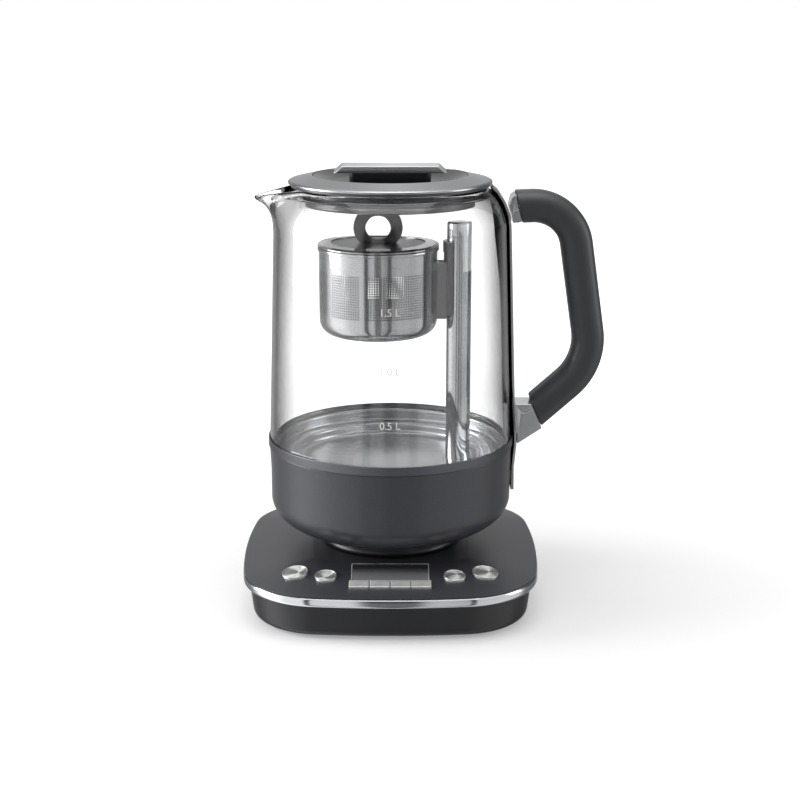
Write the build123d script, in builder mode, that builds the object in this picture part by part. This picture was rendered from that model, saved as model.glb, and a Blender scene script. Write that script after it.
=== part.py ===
"""Automatic tea maker: a glass jug with a motor-lifted tea basket on a round-cornered power base.

Millimetres. +Z is up, the handle points along +X, the spout along -X, and the control panel faces -Y.
The origin is on the jug's axis, on the plane that the foot ring stands on.
"""

import os
from math import atan2, cos, degrees, hypot, pi, radians, sin, sqrt, tan

from build123d import *

# ---- Power base ----
base_half = 90.4          # half the width across the flats of the outline
side_arc_radius = 420.0   # shallow arc of each side
corner_radius = 48.0
foot_gap = 1.2            # height of the tray above the surface it stands on
base_wall = 2.8
floor_thickness = 2.4
tray_top = 21.4
tray_inset = 3.3          # how far the tray stands in under the chrome ring
tray_draft = 2.6          # how much narrower the tray is at its bottom edge, each side
tray_edge_radius = 5.0
trim_height = 6.2
trim_inset = 5.0          # how far the chrome ring reaches inwards
trim_proud = 0.3
trim_chamfer = 1.0
deck_slope = 9.5          # degrees
deck_wall = 2.2
deck_edge = 0.8           # upright edge of the deck above the chrome ring
deck_run = 42.0           # width of the sloping border
seat_radius = 41.0
seat_rise = 8.3           # height of the round seat above the end of the slope
socket_radius = 16.2      # of the connector that stands on the seat
foot_radius = 62.0        # mid radius of the foot ring
foot_width = 8.0
foot_inlay = 1.2          # how deep the ring sits in the tray
base_boss_x = 72.0
base_boss_y = 34.0
base_boss_radius = 5.0
cord_radius = 3.5
gland_height = 12.0

# ---- Control panel ----
round_key_spots = {                                   # name: (x, y, radius)
    "key_round_left_large": (-56.0, -60.4, 7.8),
    "key_round_left_small": (-37.8, -66.0, 6.5),
    "key_round_right_small": (37.8, -66.0, 6.5),
    "key_round_right_large": (56.0, -60.4, 7.8),
}
key_travel = 1.0
key_proud = 1.5
key_clearance = 0.3
key_skirt = 1.3           # how far the retaining flange is wider than the cap
key_lift_gap = 0.8        # flange below the deck's underside
key_stem_radius = 2.0
bar_key_count = 4
bar_key_width = 11.6
bar_key_depth = 7.8
bar_key_gap = 0.5
bar_key_y = -76.1
display_width = 45.2
display_depth = 19.4
display_y = -60.9
window_thickness = 1.6
window_drop = 0.1         # the window lies this far below the deck
board_drop = 11.0         # control board below the deck's top surface
board_thickness = 1.6

# ---- Jug ----
jug_clearance = 0.3       # the jug stands this far above the seat
housing_radius = 73.6
housing_flare = 0.7       # extra radius at the top edge
housing_height = 54.0
housing_wall = 2.4
housing_corner_width = 30.0
housing_corner_height = 20.0
glass_bottom_radius = 74.0
glass_top_radius = 69.6   # at the start of the shoulder
glass_wall = 3.0
glass_height = 153.8      # from the glass's bottom edge to its rim
mouth_radius = 54.5
spout_reach = 80.9
pan_sheet = 0.8
pan_shelf_drop = 7.5      # shelf below the pan's flange
pan_floor_drop = 14.3
pan_floor_radius = 61.0
seal_thickness = 1.0
collar_overlap = 2.0

# ---- Lift ----
post_x = 41.3
post_radius = 7.5
post_wall = 0.6
post_top = 233.8
cap_height = 10.0
screw_radius = 2.5
running_gap = 0.06        # radial clearance of a shaft in its bearing
lift_travel = 76.0
screw_lead = 8.0
gear_module = 1.0
screw_gear_teeth = 30
pinion_teeth = 12
gear_thickness = 5.0
gear_backlash = 0.12
frame_level = 62.0
frame_thickness = 2.4

# ---- Basket ----
basket_x = -7.3
basket_radius = 35.6
basket_wall = 0.8
basket_bottom = 165.0
basket_height = 52.4
basket_corner = 9.0
pull_ring_radius = 14.7
pull_hole_radius = 7.5
pull_thickness = 3.2

# ---- Lid ----
lid_ring_radius = 60.5
lid_disc_radius = 46.0
lid_plug_radius = 50.0
lid_plug_depth = 11.0
lid_handle_length = 67.0
lid_handle_top_length = 58.0
lid_handle_depth = 22.0
lid_handle_thickness = 4.0

# ---- Handle ----
strap_thickness = 2.0
strap_width = 13.0
strap_gap = 0.5
grip_thickness = 19.2
grip_width = 23.0
grip_corner = 8.4
grip_bends = (26.4, 36.4)  # radius of the upper and the lower bend, at the middle of the section
bracket_width = 18.0

# ---- Worked out from the dimensions above ----
corner_centre = (sqrt(2 * (side_arc_radius - corner_radius) ** 2 - (side_arc_radius - base_half) ** 2)
                 - (side_arc_radius - base_half)) / 2
floor_z = foot_gap + floor_thickness
tray_half = base_half - tray_inset
deck_base = tray_top + trim_height
deck_half = base_half - 0.2
deck_top = deck_base + deck_edge + deck_run * tan(radians(deck_slope))
deck_sheet = deck_wall / cos(radians(deck_slope))      # deck wall measured upright
seat_top = deck_top + seat_rise
jug_bottom = seat_top + jug_clearance
housing_top = jug_bottom + housing_height
glass_bottom = housing_top + pan_sheet + seal_thickness
glass_rim = glass_bottom + glass_height
pan_floor = housing_top - pan_floor_drop
basket_rim = basket_bottom + basket_height
pinion_y = -gear_module * (screw_gear_teeth + pinion_teeth) / 2

os.makedirs("parts", exist_ok=True)


def polar(radius, angle):
    """Point at this distance and angle in degrees from the origin."""
    return radius * cos(radians(angle)), radius * sin(radians(angle))


def cushion(half):
    """Rounded square of this half width: four shallow side arcs joined by corner arcs."""
    shift = half - base_half
    bow, corner = side_arc_radius + shift, corner_radius + shift
    back = side_arc_radius - base_half
    reach = bow / (bow - corner)
    end_x, end_y = corner_centre * reach, (corner_centre + back) * reach - back
    diagonal = corner_centre + corner / sqrt(2)
    corner_points = (-end_x, end_y), (0, half), (end_x, end_y), (diagonal, diagonal), (end_y, end_x)
    with BuildLine() as outline:
        for quarter in range(4):
            turned = [Vector(*point).rotate(Axis.Z, -90 * quarter) for point in corner_points]
            start, middle, end, mitre, after = turned
            ThreePointArc(start, middle, end)
            ThreePointArc(end, mitre, after)
    make_face(outline.edges())


def cushion_frustum(low_half, low_z, high_half, high_z, mode=Mode.ADD):
    """Solid between two cushion outlines at different heights."""
    with BuildSketch(Plane.XY.offset(low_z)) as low:
        cushion(low_half)
    with BuildSketch(Plane.XY.offset(high_z)) as high:
        cushion(high_half)
    loft([low.sketch.face(), high.sketch.face()], ruled=True, mode=mode)


def cylinder_between(low_z, high_z, radius, spots=((0, 0),), mode=Mode.ADD):
    """Upright round bars of one radius between two heights, at each spot."""
    with BuildSketch(Plane.XY.offset(low_z)) as outline:
        with Locations(*spots):
            Circle(radius)
    extrude(outline.sketch, amount=high_z - low_z, mode=mode)


def tube_between(low_z, high_z, outer, inner, spots=((0, 0),), mode=Mode.ADD):
    """Upright tubes between two heights, at each spot."""
    with BuildSketch(Plane.XY.offset(low_z)) as outline:
        with Locations(*spots):
            Circle(outer)
        with Locations(*spots):
            Circle(inner, mode=Mode.SUBTRACT)
    extrude(outline.sketch, amount=high_z - low_z, mode=mode)


def extrude_on(plane, low, high, shape, mode=Mode.ADD):
    """Extrude what shape draws, from low to high along the plane's normal."""
    with BuildSketch(plane.offset(low)) as outline:
        shape()
    extrude(outline.sketch, amount=high - low, mode=mode)


def revolved(*points, centre=0, mode=Mode.ADD):
    """Turn an outline of (radius, height) points round the upright axis at this x."""
    with BuildSketch(Plane(origin=(centre, 0, 0), x_dir=(1, 0, 0), z_dir=(0, -1, 0))) as profile:
        Polygon(*points, align=None)
    revolve(profile.sketch, axis=Axis((centre, 0, 0), (0, 0, 1)), mode=mode)


def side_slab(half_width, *points, mode=Mode.ADD):
    """Slab whose outline of (x, z) points is the same across its whole width in Y."""
    with BuildSketch(Plane.XZ) as profile:
        Polygon(*points, align=None)
    extrude(profile.sketch, amount=half_width, both=True, mode=mode)


def deck_plane(x, y):
    """Plane that touches the deck's sloping surface above this point, with its normal outwards."""
    u, v = abs(x), abs(y)
    back = side_arc_radius - base_half
    limit = degrees(atan2(corner_centre + back, corner_centre))
    heading = degrees(atan2(v - corner_centre, u - corner_centre))
    if 90 - limit <= heading <= limit:
        centre, radius = (corner_centre, corner_centre), corner_radius
    elif v > u:
        centre, radius = (0.0, -back), side_arc_radius
    else:
        centre, radius = (-back, 0.0), side_arc_radius
    reach = hypot(u - centre[0], v - centre[1])
    inset = radius + deck_half - base_half - reach
    out_x = (u - centre[0]) / reach * (1 if x >= 0 else -1)
    out_y = (v - centre[1]) / reach * (1 if y >= 0 else -1)
    slope = radians(deck_slope)
    height = deck_base + deck_edge + inset * tan(slope)
    normal = (sin(slope) * out_x, sin(slope) * out_y, cos(slope))
    return Plane(origin=(x, y, height), x_dir=(1, 0, 0), z_dir=normal)


# ==== Power base ====
boss_spots = [(sx * base_boss_x, sy * base_boss_y) for sx in (-1, 1) for sy in (-1, 1)]
boss_top = 18.0
screw_seat = 13.0
screw_shank = 1.45
screw_head = 3.0
screw_clearance = 0.25

display_plane = deck_plane(0, display_y)
bar_plane = deck_plane(0, bar_key_y)
board_plane = display_plane.offset(-board_drop)       # top face of the control board
key_flange_top = -(deck_wall + key_lift_gap)
key_flange_low = key_flange_top - 1.5
key_stem_low = key_flange_low - 1.0
board_post_x = 27.2
board_post_radius = 2.2
bar_offsets = [(i - (bar_key_count - 1) / 2) * (bar_key_width + bar_key_gap) for i in range(bar_key_count)]
bar_planes = [Plane(bar_plane.origin + Vector(x, 0, 0), bar_plane.x_dir, bar_plane.z_dir) for x in bar_offsets]
bar_slot_depth = bar_key_depth + 2 * key_clearance
bar_slot_width = bar_key_count * bar_key_width + (bar_key_count - 1) * bar_key_gap + 2 * key_clearance

board_size = (76.0, 46.0)
board_centre_y = 40.0
board_level = 8.4
standoff_spots = [(sx * 33.0, board_centre_y + sy * 18.0) for sx in (-1, 1) for sy in (-1, 1)]
gland_radius = 5.9

with BuildPart() as base_tray:
    cushion_frustum(tray_half - tray_draft, foot_gap, tray_half, tray_top)
    fillet(base_tray.faces().sort_by(Axis.Z)[0].edges(), tray_edge_radius)
    inner_half = tray_half - base_wall
    cushion_frustum(inner_half - tray_draft, floor_z, inner_half, tray_top, Mode.SUBTRACT)
    with BuildSketch(Plane.XY.offset(tray_top)):    # lip that centres the chrome ring
        cushion(base_half - trim_inset - 0.1)
        with BuildSketch(mode=Mode.SUBTRACT):
            cushion(inner_half)
    extrude(amount=trim_height - 0.8)
    cylinder_between(floor_z - 0.5, boss_top, base_boss_radius, boss_spots)
    cylinder_between(floor_z - 0.5, board_level, 3.0, standoff_spots)
    cylinder_between(floor_z + 1, board_level, 1.15, standoff_spots, Mode.SUBTRACT)
    cylinder_between(foot_gap, screw_seat, screw_head + 0.5, boss_spots, Mode.SUBTRACT)
    cylinder_between(foot_gap, boss_top, screw_shank + screw_clearance, boss_spots, Mode.SUBTRACT)
    tube_between(foot_gap, foot_gap + foot_inlay, foot_radius + foot_width / 2 + 0.1,
                 foot_radius - foot_width / 2 - 0.1, mode=Mode.SUBTRACT)
    with BuildSketch(Plane.XY.offset(foot_gap)):    # vent slots
        with GridLocations(9, 0, 5, 1):
            SlotOverall(22, 3, rotation=90)
    extrude(amount=floor_thickness, mode=Mode.SUBTRACT)
    with BuildSketch(Plane(origin=(0, tray_half + 1, gland_height), z_dir=(0, -1, 0))):
        Circle(gland_radius + 0.1)
    extrude(amount=12, mode=Mode.SUBTRACT)
base_tray.part.label = "base_tray"
export_step(base_tray.part, "parts/base_tray.step")

with BuildPart() as base_foot_ring:
    tube_between(0, foot_gap + foot_inlay, foot_radius + foot_width / 2, foot_radius - foot_width / 2)
base_foot_ring.part.label = "base_foot_ring"
export_step(base_foot_ring.part, "parts/base_foot_ring.step")

with BuildPart() as base_trim_ring:
    with BuildSketch(Plane.XY.offset(tray_top)):
        cushion(base_half + trim_proud)
    extrude(amount=trim_height)
    chamfer(base_trim_ring.faces().sort_by(Axis.Z)[-1].edges(), trim_chamfer)
    chamfer(base_trim_ring.faces().sort_by(Axis.Z)[0].edges(), trim_chamfer)
    with BuildSketch(Plane.XY.offset(tray_top)):
        cushion(base_half - trim_inset)
    extrude(amount=trim_height, mode=Mode.SUBTRACT)
base_trim_ring.part.label = "base_trim_ring"
export_step(base_trim_ring.part, "parts/base_trim_ring.step")

with BuildPart() as base_deck:
    with BuildSketch(Plane.XY.offset(deck_base)):
        cushion(deck_half)
    extrude(amount=deck_edge)
    cushion_frustum(deck_half, deck_base + deck_edge, deck_half - deck_run, deck_top)
    cylinder_between(deck_top, seat_top, seat_radius)
    round_edges = base_deck.edges().filter_by(GeomType.CIRCLE)
    seat_edges = round_edges.filter_by(lambda edge: abs(edge.radius - seat_radius) < 0.01)
    fillet(seat_edges.group_by(Axis.Z)[-1], 2.0)
    fillet(seat_edges.group_by(Axis.Z)[0], 3.0)
    wedge = (deck_sheet - deck_edge) / tan(radians(deck_slope))
    cushion_frustum(deck_half - wedge, deck_base, deck_half - deck_run, deck_top - deck_sheet, Mode.SUBTRACT)
    cylinder_between(deck_top - deck_sheet, seat_top - deck_wall, seat_radius - deck_wall, mode=Mode.SUBTRACT)
    cylinder_between(boss_top, deck_base + 1.6, 3.6, boss_spots)
    cylinder_between(boss_top, boss_top + 9, screw_shank + 0.05, boss_spots, Mode.SUBTRACT)
    cylinder_between(deck_top, seat_top, socket_radius + 0.4, mode=Mode.SUBTRACT)
    extrude_on(display_plane, -window_thickness - window_drop, 3,
               lambda: RectangleRounded(display_width, display_depth, 1.2), mode=Mode.SUBTRACT)
    extrude_on(display_plane, -6, 3,
               lambda: RectangleRounded(display_width - 3, display_depth - 3, 0.8), mode=Mode.SUBTRACT)
    extrude_on(bar_plane, -6, 3,
               lambda: RectangleRounded(bar_slot_width, bar_slot_depth, 1.0), mode=Mode.SUBTRACT)
    for x, y, radius in round_key_spots.values():
        extrude_on(deck_plane(x, y), -6, 3, lambda: Circle(radius + key_clearance), mode=Mode.SUBTRACT)
    with BuildSketch(board_plane) as posts:              # posts that carry the control board
        with Locations((-board_post_x, 0), (board_post_x, 0)):
            Circle(board_post_radius)
    extrude(posts.sketch, amount=board_drop - deck_wall + 0.6)
base_deck.part.label = "base_deck"
export_step(base_deck.part, "parts/base_deck.step")

with BuildPart() as base_screws:
    cylinder_between(screw_seat - 2.2, screw_seat, screw_head, boss_spots)
    cylinder_between(screw_seat, boss_top + 8, screw_shank, boss_spots)
    with BuildSketch(Plane.XY.offset(screw_seat - 2.2)):      # hexagon recess
        with Locations(*boss_spots):
            RegularPolygon(1.5, 6)
    extrude(amount=1.4, mode=Mode.SUBTRACT)
base_screws.part.label = "base_screws"
export_step(base_screws.part, "parts/base_screws.step")

with BuildPart() as cord_gland:
    gland_plane = Plane(origin=(0, tray_half - 7.7, gland_height), z_dir=(0, 1, 0))
    extrude_on(gland_plane, 0, 8.4, lambda: Circle(gland_radius))
    extrude_on(gland_plane, 0, 1.8, lambda: Circle(gland_radius + 2))
    extrude_on(gland_plane, 7.9, 9.2, lambda: Circle(gland_radius + 1.6))
    extrude_on(gland_plane, -1, 10, lambda: Circle(cord_radius), mode=Mode.SUBTRACT)
cord_gland.part.label = "cord_gland"
export_step(cord_gland.part, "parts/cord_gland.step")

socket_top = seat_top + 6.3
socket_flange_top = seat_top - deck_wall - 0.1
contact_slots = ((5.5, 8.0), (11.0, 13.5))      # inner and outer radius of each ring slot
slot_depth = 8.0
with BuildPart() as connector_socket:
    cylinder_between(socket_flange_top - 8, socket_top, socket_radius)
    cylinder_between(socket_flange_top - 8, socket_flange_top, 24.0)
    fillet(connector_socket.faces().sort_by(Axis.Z)[-1].edges(), 1.2)
    for inner, outer in contact_slots:
        tube_between(socket_top - slot_depth, socket_top, outer, inner, mode=Mode.SUBTRACT)
    cylinder_between(socket_top - slot_depth, socket_top, 2.2, mode=Mode.SUBTRACT)
connector_socket.part.label = "connector_socket"
export_step(connector_socket.part, "parts/connector_socket.step")

with BuildPart() as socket_contacts:
    for inner, outer in contact_slots:
        tube_between(socket_top - slot_depth, socket_top - slot_depth + 0.6, outer - 0.1, inner + 0.1)
socket_contacts.part.label = "socket_contacts"
export_step(socket_contacts.part, "parts/socket_contacts.step")

with BuildPart() as power_board:
    with BuildSketch(Plane.XY.offset(board_level)):
        with Locations((0, board_centre_y)):
            RectangleRounded(*board_size, 2)
    extrude(amount=board_thickness)
    cylinder_between(board_level, board_level + board_thickness, 1.4, standoff_spots, Mode.SUBTRACT)
    top = board_level + board_thickness
    with BuildSketch(Plane.XY.offset(top)):      # relay and terminal block
        with Locations((-22, board_centre_y - 8)):
            Rectangle(19, 15)
        with Locations((0, board_centre_y + 16)):
            Rectangle(22, 9)
    extrude(amount=12)
    cylinder_between(top, top + 12, 5, ((8, board_centre_y - 12),))
    with BuildSketch(Plane.XY.offset(top)):      # transformer core and its coil
        with Locations((25, board_centre_y)):
            Rectangle(20, 24)
    extrude(amount=14)
    with BuildSketch(Plane.XY.offset(top + 3)):
        with Locations((25, board_centre_y)):
            RectangleRounded(14, 32, 3)
    extrude(amount=8)
power_board.part.label = "power_board"
export_step(power_board.part, "parts/power_board.step")

with BuildPart() as control_board:
    with BuildSketch(board_plane.offset(-board_thickness)):
        RectangleRounded(124, 17.4, 2)
        with Locations((0, -11)):
            RectangleRounded(60, 17, 2)
    extrude(amount=board_thickness)
control_board.part.label = "control_board"
export_step(control_board.part, "parts/control_board.step")

with BuildPart() as display_window:
    extrude_on(display_plane, -window_thickness - window_drop, -window_drop,
               lambda: RectangleRounded(display_width - 0.2, display_depth - 0.2, 1.1))
display_window.part.label = "display_window"
export_step(display_window.part, "parts/display_window.step")

with BuildPart() as display_module:
    extrude_on(display_plane, -11.0, -2.6, lambda: Rectangle(display_width + 1, display_depth - 4.4))
    extrude_on(display_plane, -2.6, -1.8, lambda: Rectangle(display_width - 4, display_depth - 5))
display_module.part.label = "display_module"
export_step(display_module.part, "parts/display_module.step")


def key_switch_top(plane):
    """Where the switch under a key ends, in the control board's own coordinates."""
    tip = plane.origin + plane.z_dir * (key_stem_low - key_travel - 0.3)
    return board_plane.to_local_coords(tip)


switch_tops = [key_switch_top(deck_plane(x, y)) for x, y, radius in round_key_spots.values()]
switch_tops += [key_switch_top(plane) for plane in bar_planes]
switch_body = 2.2
with BuildPart() as tact_switches:
    for tip in switch_tops:
        with BuildSketch(board_plane):
            with Locations((tip.X, tip.Y)):
                Rectangle(6, 6)
        extrude(amount=switch_body)
        with BuildSketch(board_plane):
            with Locations((tip.X, tip.Y)):
                Circle(1.6)
        extrude(amount=tip.Z)
tact_switches.part.label = "tact_switches"
export_step(tact_switches.part, "parts/tact_switches.step")

for name, (x, y, radius) in round_key_spots.items():
    with BuildPart() as round_key:
        plane = deck_plane(x, y)
        extrude_on(plane, key_flange_top, key_proud, lambda: Circle(radius))
        rim = round_key.edges().filter_by(GeomType.CIRCLE).sort_by(Axis.Z)[-1]
        chamfer(rim, 0.5)
        extrude_on(plane, key_flange_low, key_flange_top, lambda: Circle(radius + key_skirt))
        extrude_on(plane, key_stem_low, key_flange_low, lambda: Circle(key_stem_radius))
    round_key.part.label = name
    export_step(round_key.part, f"parts/{name}.step")

for number, plane in enumerate(bar_planes, start=1):
    with BuildPart() as bar_key:
        extrude_on(plane, key_flange_top, key_proud, lambda: Rectangle(bar_key_width, bar_key_depth))
        cap_top = bar_key.faces().sort_by(Axis(plane.origin, plane.z_dir))[-1]
        chamfer(cap_top.edges(), 0.4)
        extrude_on(plane, key_flange_low, key_flange_top,
                   lambda: Rectangle(bar_key_width, bar_key_depth + 2 * key_skirt))
        extrude_on(plane, key_stem_low, key_flange_low, lambda: Circle(key_stem_radius))
    bar_key.part.label = f"key_bar_{number}"
    export_step(bar_key.part, f"parts/key_bar_{number}.step")

# ==== Jug's half of the turning connector ====
plug_radius = 19.5
plug_gap = 0.3            # between the turning plug and the jug
plug_low = socket_top + 0.5
plug_top = plug_low + 7.0
with BuildPart() as connector_plug:
    cylinder_between(plug_low, plug_top, plug_radius)
    tube_between(jug_bottom + floor_thickness + 0.3, plug_low, plug_radius, socket_radius + 0.6)
    fillet(connector_plug.faces().sort_by(Axis.Z)[-1].edges(), 1.0)
connector_plug.part.label = "connector_plug"
export_step(connector_plug.part, "parts/connector_plug.step")

with BuildPart() as plug_contacts:
    for inner, outer in contact_slots:
        tube_between(socket_top - slot_depth + 0.9, plug_low, outer - 0.7, inner + 0.7)
    cylinder_between(socket_top - slot_depth + 0.9, plug_low, 1.6)
plug_contacts.part.label = "plug_contacts"
export_step(plug_contacts.part, "parts/plug_contacts.step")

# ==== Jug ====
cover_opening = 42.0
cover_boss_angles = (60, 180, 300)
frame_boss_spots = [polar(54, angle) for angle in cover_boss_angles]
pillar_spots = [polar(34, angle) for angle in cover_boss_angles]
corner_z = jug_bottom + housing_corner_height

handle_screw_heights = (70.0, 79.0)
handle_screw_shank = 1.45

with BuildPart() as jug_housing:
    flat = housing_radius - housing_corner_width
    step_z = housing_top - 1.6
    step_radius = housing_radius + housing_flare - 0.4
    inner_radius = housing_radius - housing_wall
    inner_corner = (housing_corner_width - housing_wall, housing_corner_height - housing_wall)
    with BuildSketch(Plane.XZ):
        with BuildLine():
            Line((cover_opening, jug_bottom), (flat, jug_bottom))
            EllipticalCenterArc((flat, corner_z), housing_corner_width, housing_corner_height, 270,
                                arc_size=90)
            Polyline((housing_radius, corner_z), (housing_radius, corner_z + 18),
                     (housing_radius + housing_flare, step_z), (step_radius, step_z),
                     (step_radius, housing_top), (inner_radius, housing_top), (inner_radius, corner_z))
            EllipticalCenterArc((flat, corner_z), *inner_corner, 270, arc_size=90)
            Polyline((flat, corner_z - inner_corner[1]), (cover_opening, corner_z - inner_corner[1]),
                     (cover_opening, jug_bottom))
        make_face()
    revolve(axis=Axis.Z)
    cylinder_between(jug_bottom + 2.7, frame_level, 4.0, frame_boss_spots)        # carry the inner frame
    cylinder_between(frame_level - 9, frame_level, 1.3, frame_boss_spots, Mode.SUBTRACT)
    with BuildSketch(Plane.YZ.offset(inner_radius - 3)):
        with Locations(*[(0, z) for z in handle_screw_heights]):
            Circle(handle_screw_shank + screw_clearance)
    extrude(amount=8, mode=Mode.SUBTRACT)
jug_housing.part.label = "jug_housing"
export_step(jug_housing.part, "parts/jug_housing.step")

cover_top = jug_bottom + floor_thickness
with BuildPart() as jug_bottom_cover:
    tube_between(jug_bottom, cover_top, cover_opening - 0.2, plug_radius + plug_gap)
    cylinder_between(jug_bottom, jug_bottom + 1.2, 3.3, pillar_spots, Mode.SUBTRACT)
    cylinder_between(jug_bottom, cover_top, 1.5, pillar_spots, Mode.SUBTRACT)
jug_bottom_cover.part.label = "jug_bottom_cover"
export_step(jug_bottom_cover.part, "parts/jug_bottom_cover.step")

with BuildPart() as collar_ring:
    collar_inner = glass_bottom_radius + 0.1
    tube_between(step_z + 0.1, glass_bottom + collar_overlap, collar_inner + pan_sheet, collar_inner)
collar_ring.part.label = "collar_ring"
export_step(collar_ring.part, "parts/collar_ring.step")

shelf_z = housing_top - pan_shelf_drop
with BuildPart() as heating_pan:
    wall_radius = inner_radius - 1.4
    revolved((step_radius - 0.3, housing_top + pan_sheet), (wall_radius - pan_sheet, housing_top + pan_sheet),
             (wall_radius - pan_sheet, shelf_z + pan_sheet), (pan_floor_radius, shelf_z + pan_sheet),
             (pan_floor_radius - 1, pan_floor + pan_sheet), (0, pan_floor + pan_sheet), (0, pan_floor),
             (pan_floor_radius - 0.2, pan_floor), (pan_floor_radius + 0.8, shelf_z), (wall_radius, shelf_z),
             (wall_radius, housing_top), (step_radius - 0.3, housing_top))
    for ridge in (20, 29.5, 55):                                 # pressed stiffening rings
        tube_between(pan_floor + pan_sheet, pan_floor + pan_sheet + 0.5, ridge + 1, ridge - 1)
    cylinder_between(pan_floor - 1, pan_floor + 3, post_radius + 0.1, ((post_x, 0),), Mode.SUBTRACT)
heating_pan.part.label = "heating_pan"
export_step(heating_pan.part, "parts/heating_pan.step")

with BuildPart() as pan_seal:
    tube_between(housing_top + pan_sheet, glass_bottom,
                 glass_bottom_radius - 0.1, glass_bottom_radius - glass_wall)
pan_seal.part.label = "pan_seal"
export_step(pan_seal.part, "parts/pan_seal.step")

element_radius = 57.0
element_tube = 3.4
element_z = pan_floor - element_tube - 0.1
with BuildPart() as heating_element:
    with BuildSketch(Plane.XZ) as section:
        with Locations((element_radius, element_z)):
            Circle(element_tube)
    revolve(section.sketch.rotate(Axis.Z, 200), axis=Axis.Z, revolution_arc=320)
    terminals = [polar(element_radius, 158), polar(element_radius, 202)]
    cylinder_between(element_z - 14, element_z, 1.8, terminals)
heating_element.part.label = "heating_element"
export_step(heating_element.part, "parts/heating_element.step")

with BuildPart() as temperature_sensor:
    cylinder_between(pan_floor - 9.7, pan_floor - 0.1, 4.0, ((-20, 0),))
    cylinder_between(pan_floor - 14, pan_floor - 9.7, 1.0, ((-21.5, 0), (-18.5, 0)))
temperature_sensor.part.label = "temperature_sensor"
export_step(temperature_sensor.part, "parts/temperature_sensor.step")

with BuildPart() as thermal_cutout:
    cylinder_between(pan_floor - 7.6, pan_floor - 0.1, 8.0, ((-26, 22),))
    with BuildSketch(Plane.XY.offset(pan_floor - 16)):
        with Locations((-31, 22), (-21, 22)):
            Rectangle(0.8, 4.8)
    extrude(amount=9)
thermal_cutout.part.label = "thermal_cutout"
export_step(thermal_cutout.part, "parts/thermal_cutout.step")

frame_top = frame_level + frame_thickness
post_spot = ((post_x, 0),)
motor_spot = ((post_x, pinion_y - gear_backlash / 2),)
bush_radius = 4.8
with BuildPart() as inner_frame:
    cylinder_between(frame_level, frame_top, 62.0)
    cylinder_between(socket_top + 1, frame_level, plug_radius + 2.5)             # cup that holds the plug
    cylinder_between(socket_top + 1, plug_top + 0.4, plug_radius + plug_gap, mode=Mode.SUBTRACT)
    cylinder_between(plug_top, frame_top, 14.0, mode=Mode.SUBTRACT)
    cylinder_between(cover_top, frame_level, 3.5, pillar_spots)
    cylinder_between(cover_top, frame_level - 3, 1.25, pillar_spots, Mode.SUBTRACT)
    cylinder_between(frame_level, frame_top, 1.5, frame_boss_spots, Mode.SUBTRACT)
    cylinder_between(frame_level, frame_top, bush_radius + 0.05, post_spot, Mode.SUBTRACT)
    cylinder_between(frame_level, frame_top, 3.0, motor_spot, Mode.SUBTRACT)
    with BuildSketch(Plane.XY.offset(frame_level)):            # windows that let the wiring through
        with PolarLocations(40, 3, start_angle=120, angular_range=120, endpoint=True):
            RectangleRounded(14, 22, 3)
    extrude(amount=frame_thickness, mode=Mode.SUBTRACT)
inner_frame.part.label = "inner_frame"
export_step(inner_frame.part, "parts/inner_frame.step")

with BuildPart() as lift_motor:
    cylinder_between(frame_level - 11.5, frame_level, 10.0, motor_spot)
    cylinder_between(frame_level - 12.5, frame_level - 11.5, 3.0, motor_spot)
    cylinder_between(frame_level - 6, frame_level, 1.06, motor_spot, Mode.SUBTRACT)
lift_motor.part.label = "lift_motor"
export_step(lift_motor.part, "parts/lift_motor.step")

gear_low = frame_top + 1.1


def gear_blank(teeth, spot, turn):
    """Straight-toothed gear with involute flanks, one tooth centred at the turn angle."""
    pitch = gear_module * teeth / 2
    base = pitch * cos(radians(20))
    tip, root = pitch + 0.8 * gear_module, pitch - 1.05 * gear_module
    half_tooth = pi / (2 * teeth) - gear_backlash / (2 * pitch) + tan(radians(20)) - radians(20)
    flank = []
    for step in range(6):
        radius = max(base, root) + (tip - max(base, root)) * step / 5
        roll = sqrt(max((radius / base) ** 2 - 1, 0))
        flank.append((radius, half_tooth - (roll - atan2(roll, 1))))
    outline = []
    for tooth in range(teeth):
        centre = 2 * pi * tooth / teeth + radians(turn)
        corners = [(root, -flank[0][1])] + [(r, -a) for r, a in flank]
        corners += [(r, a) for r, a in reversed(flank)] + [(root, flank[0][1])]
        outline += [(spot[0] + r * cos(centre + a), spot[1] + r * sin(centre + a)) for r, a in corners]
    with BuildSketch(Plane.XY.offset(gear_low)) as face:
        Polygon(*outline, align=None)
    extrude(face.sketch, amount=gear_thickness)


with BuildPart() as screw_gear:
    gear_blank(screw_gear_teeth, (post_x, 0), 0)
    cylinder_between(gear_low + gear_thickness, gear_low + gear_thickness + 3, 5.0, post_spot)
    cylinder_between(gear_low, gear_low + gear_thickness + 3, screw_radius + 0.02, post_spot, Mode.SUBTRACT)
screw_gear.part.label = "screw_gear"
export_step(screw_gear.part, "parts/screw_gear.step")

with BuildPart() as motor_pinion:
    gear_blank(pinion_teeth, motor_spot[0], 0)
    cylinder_between(frame_level - 5, gear_low, 1.0, motor_spot)
motor_pinion.part.label = "motor_pinion"
export_step(motor_pinion.part, "parts/motor_pinion.step")

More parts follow.
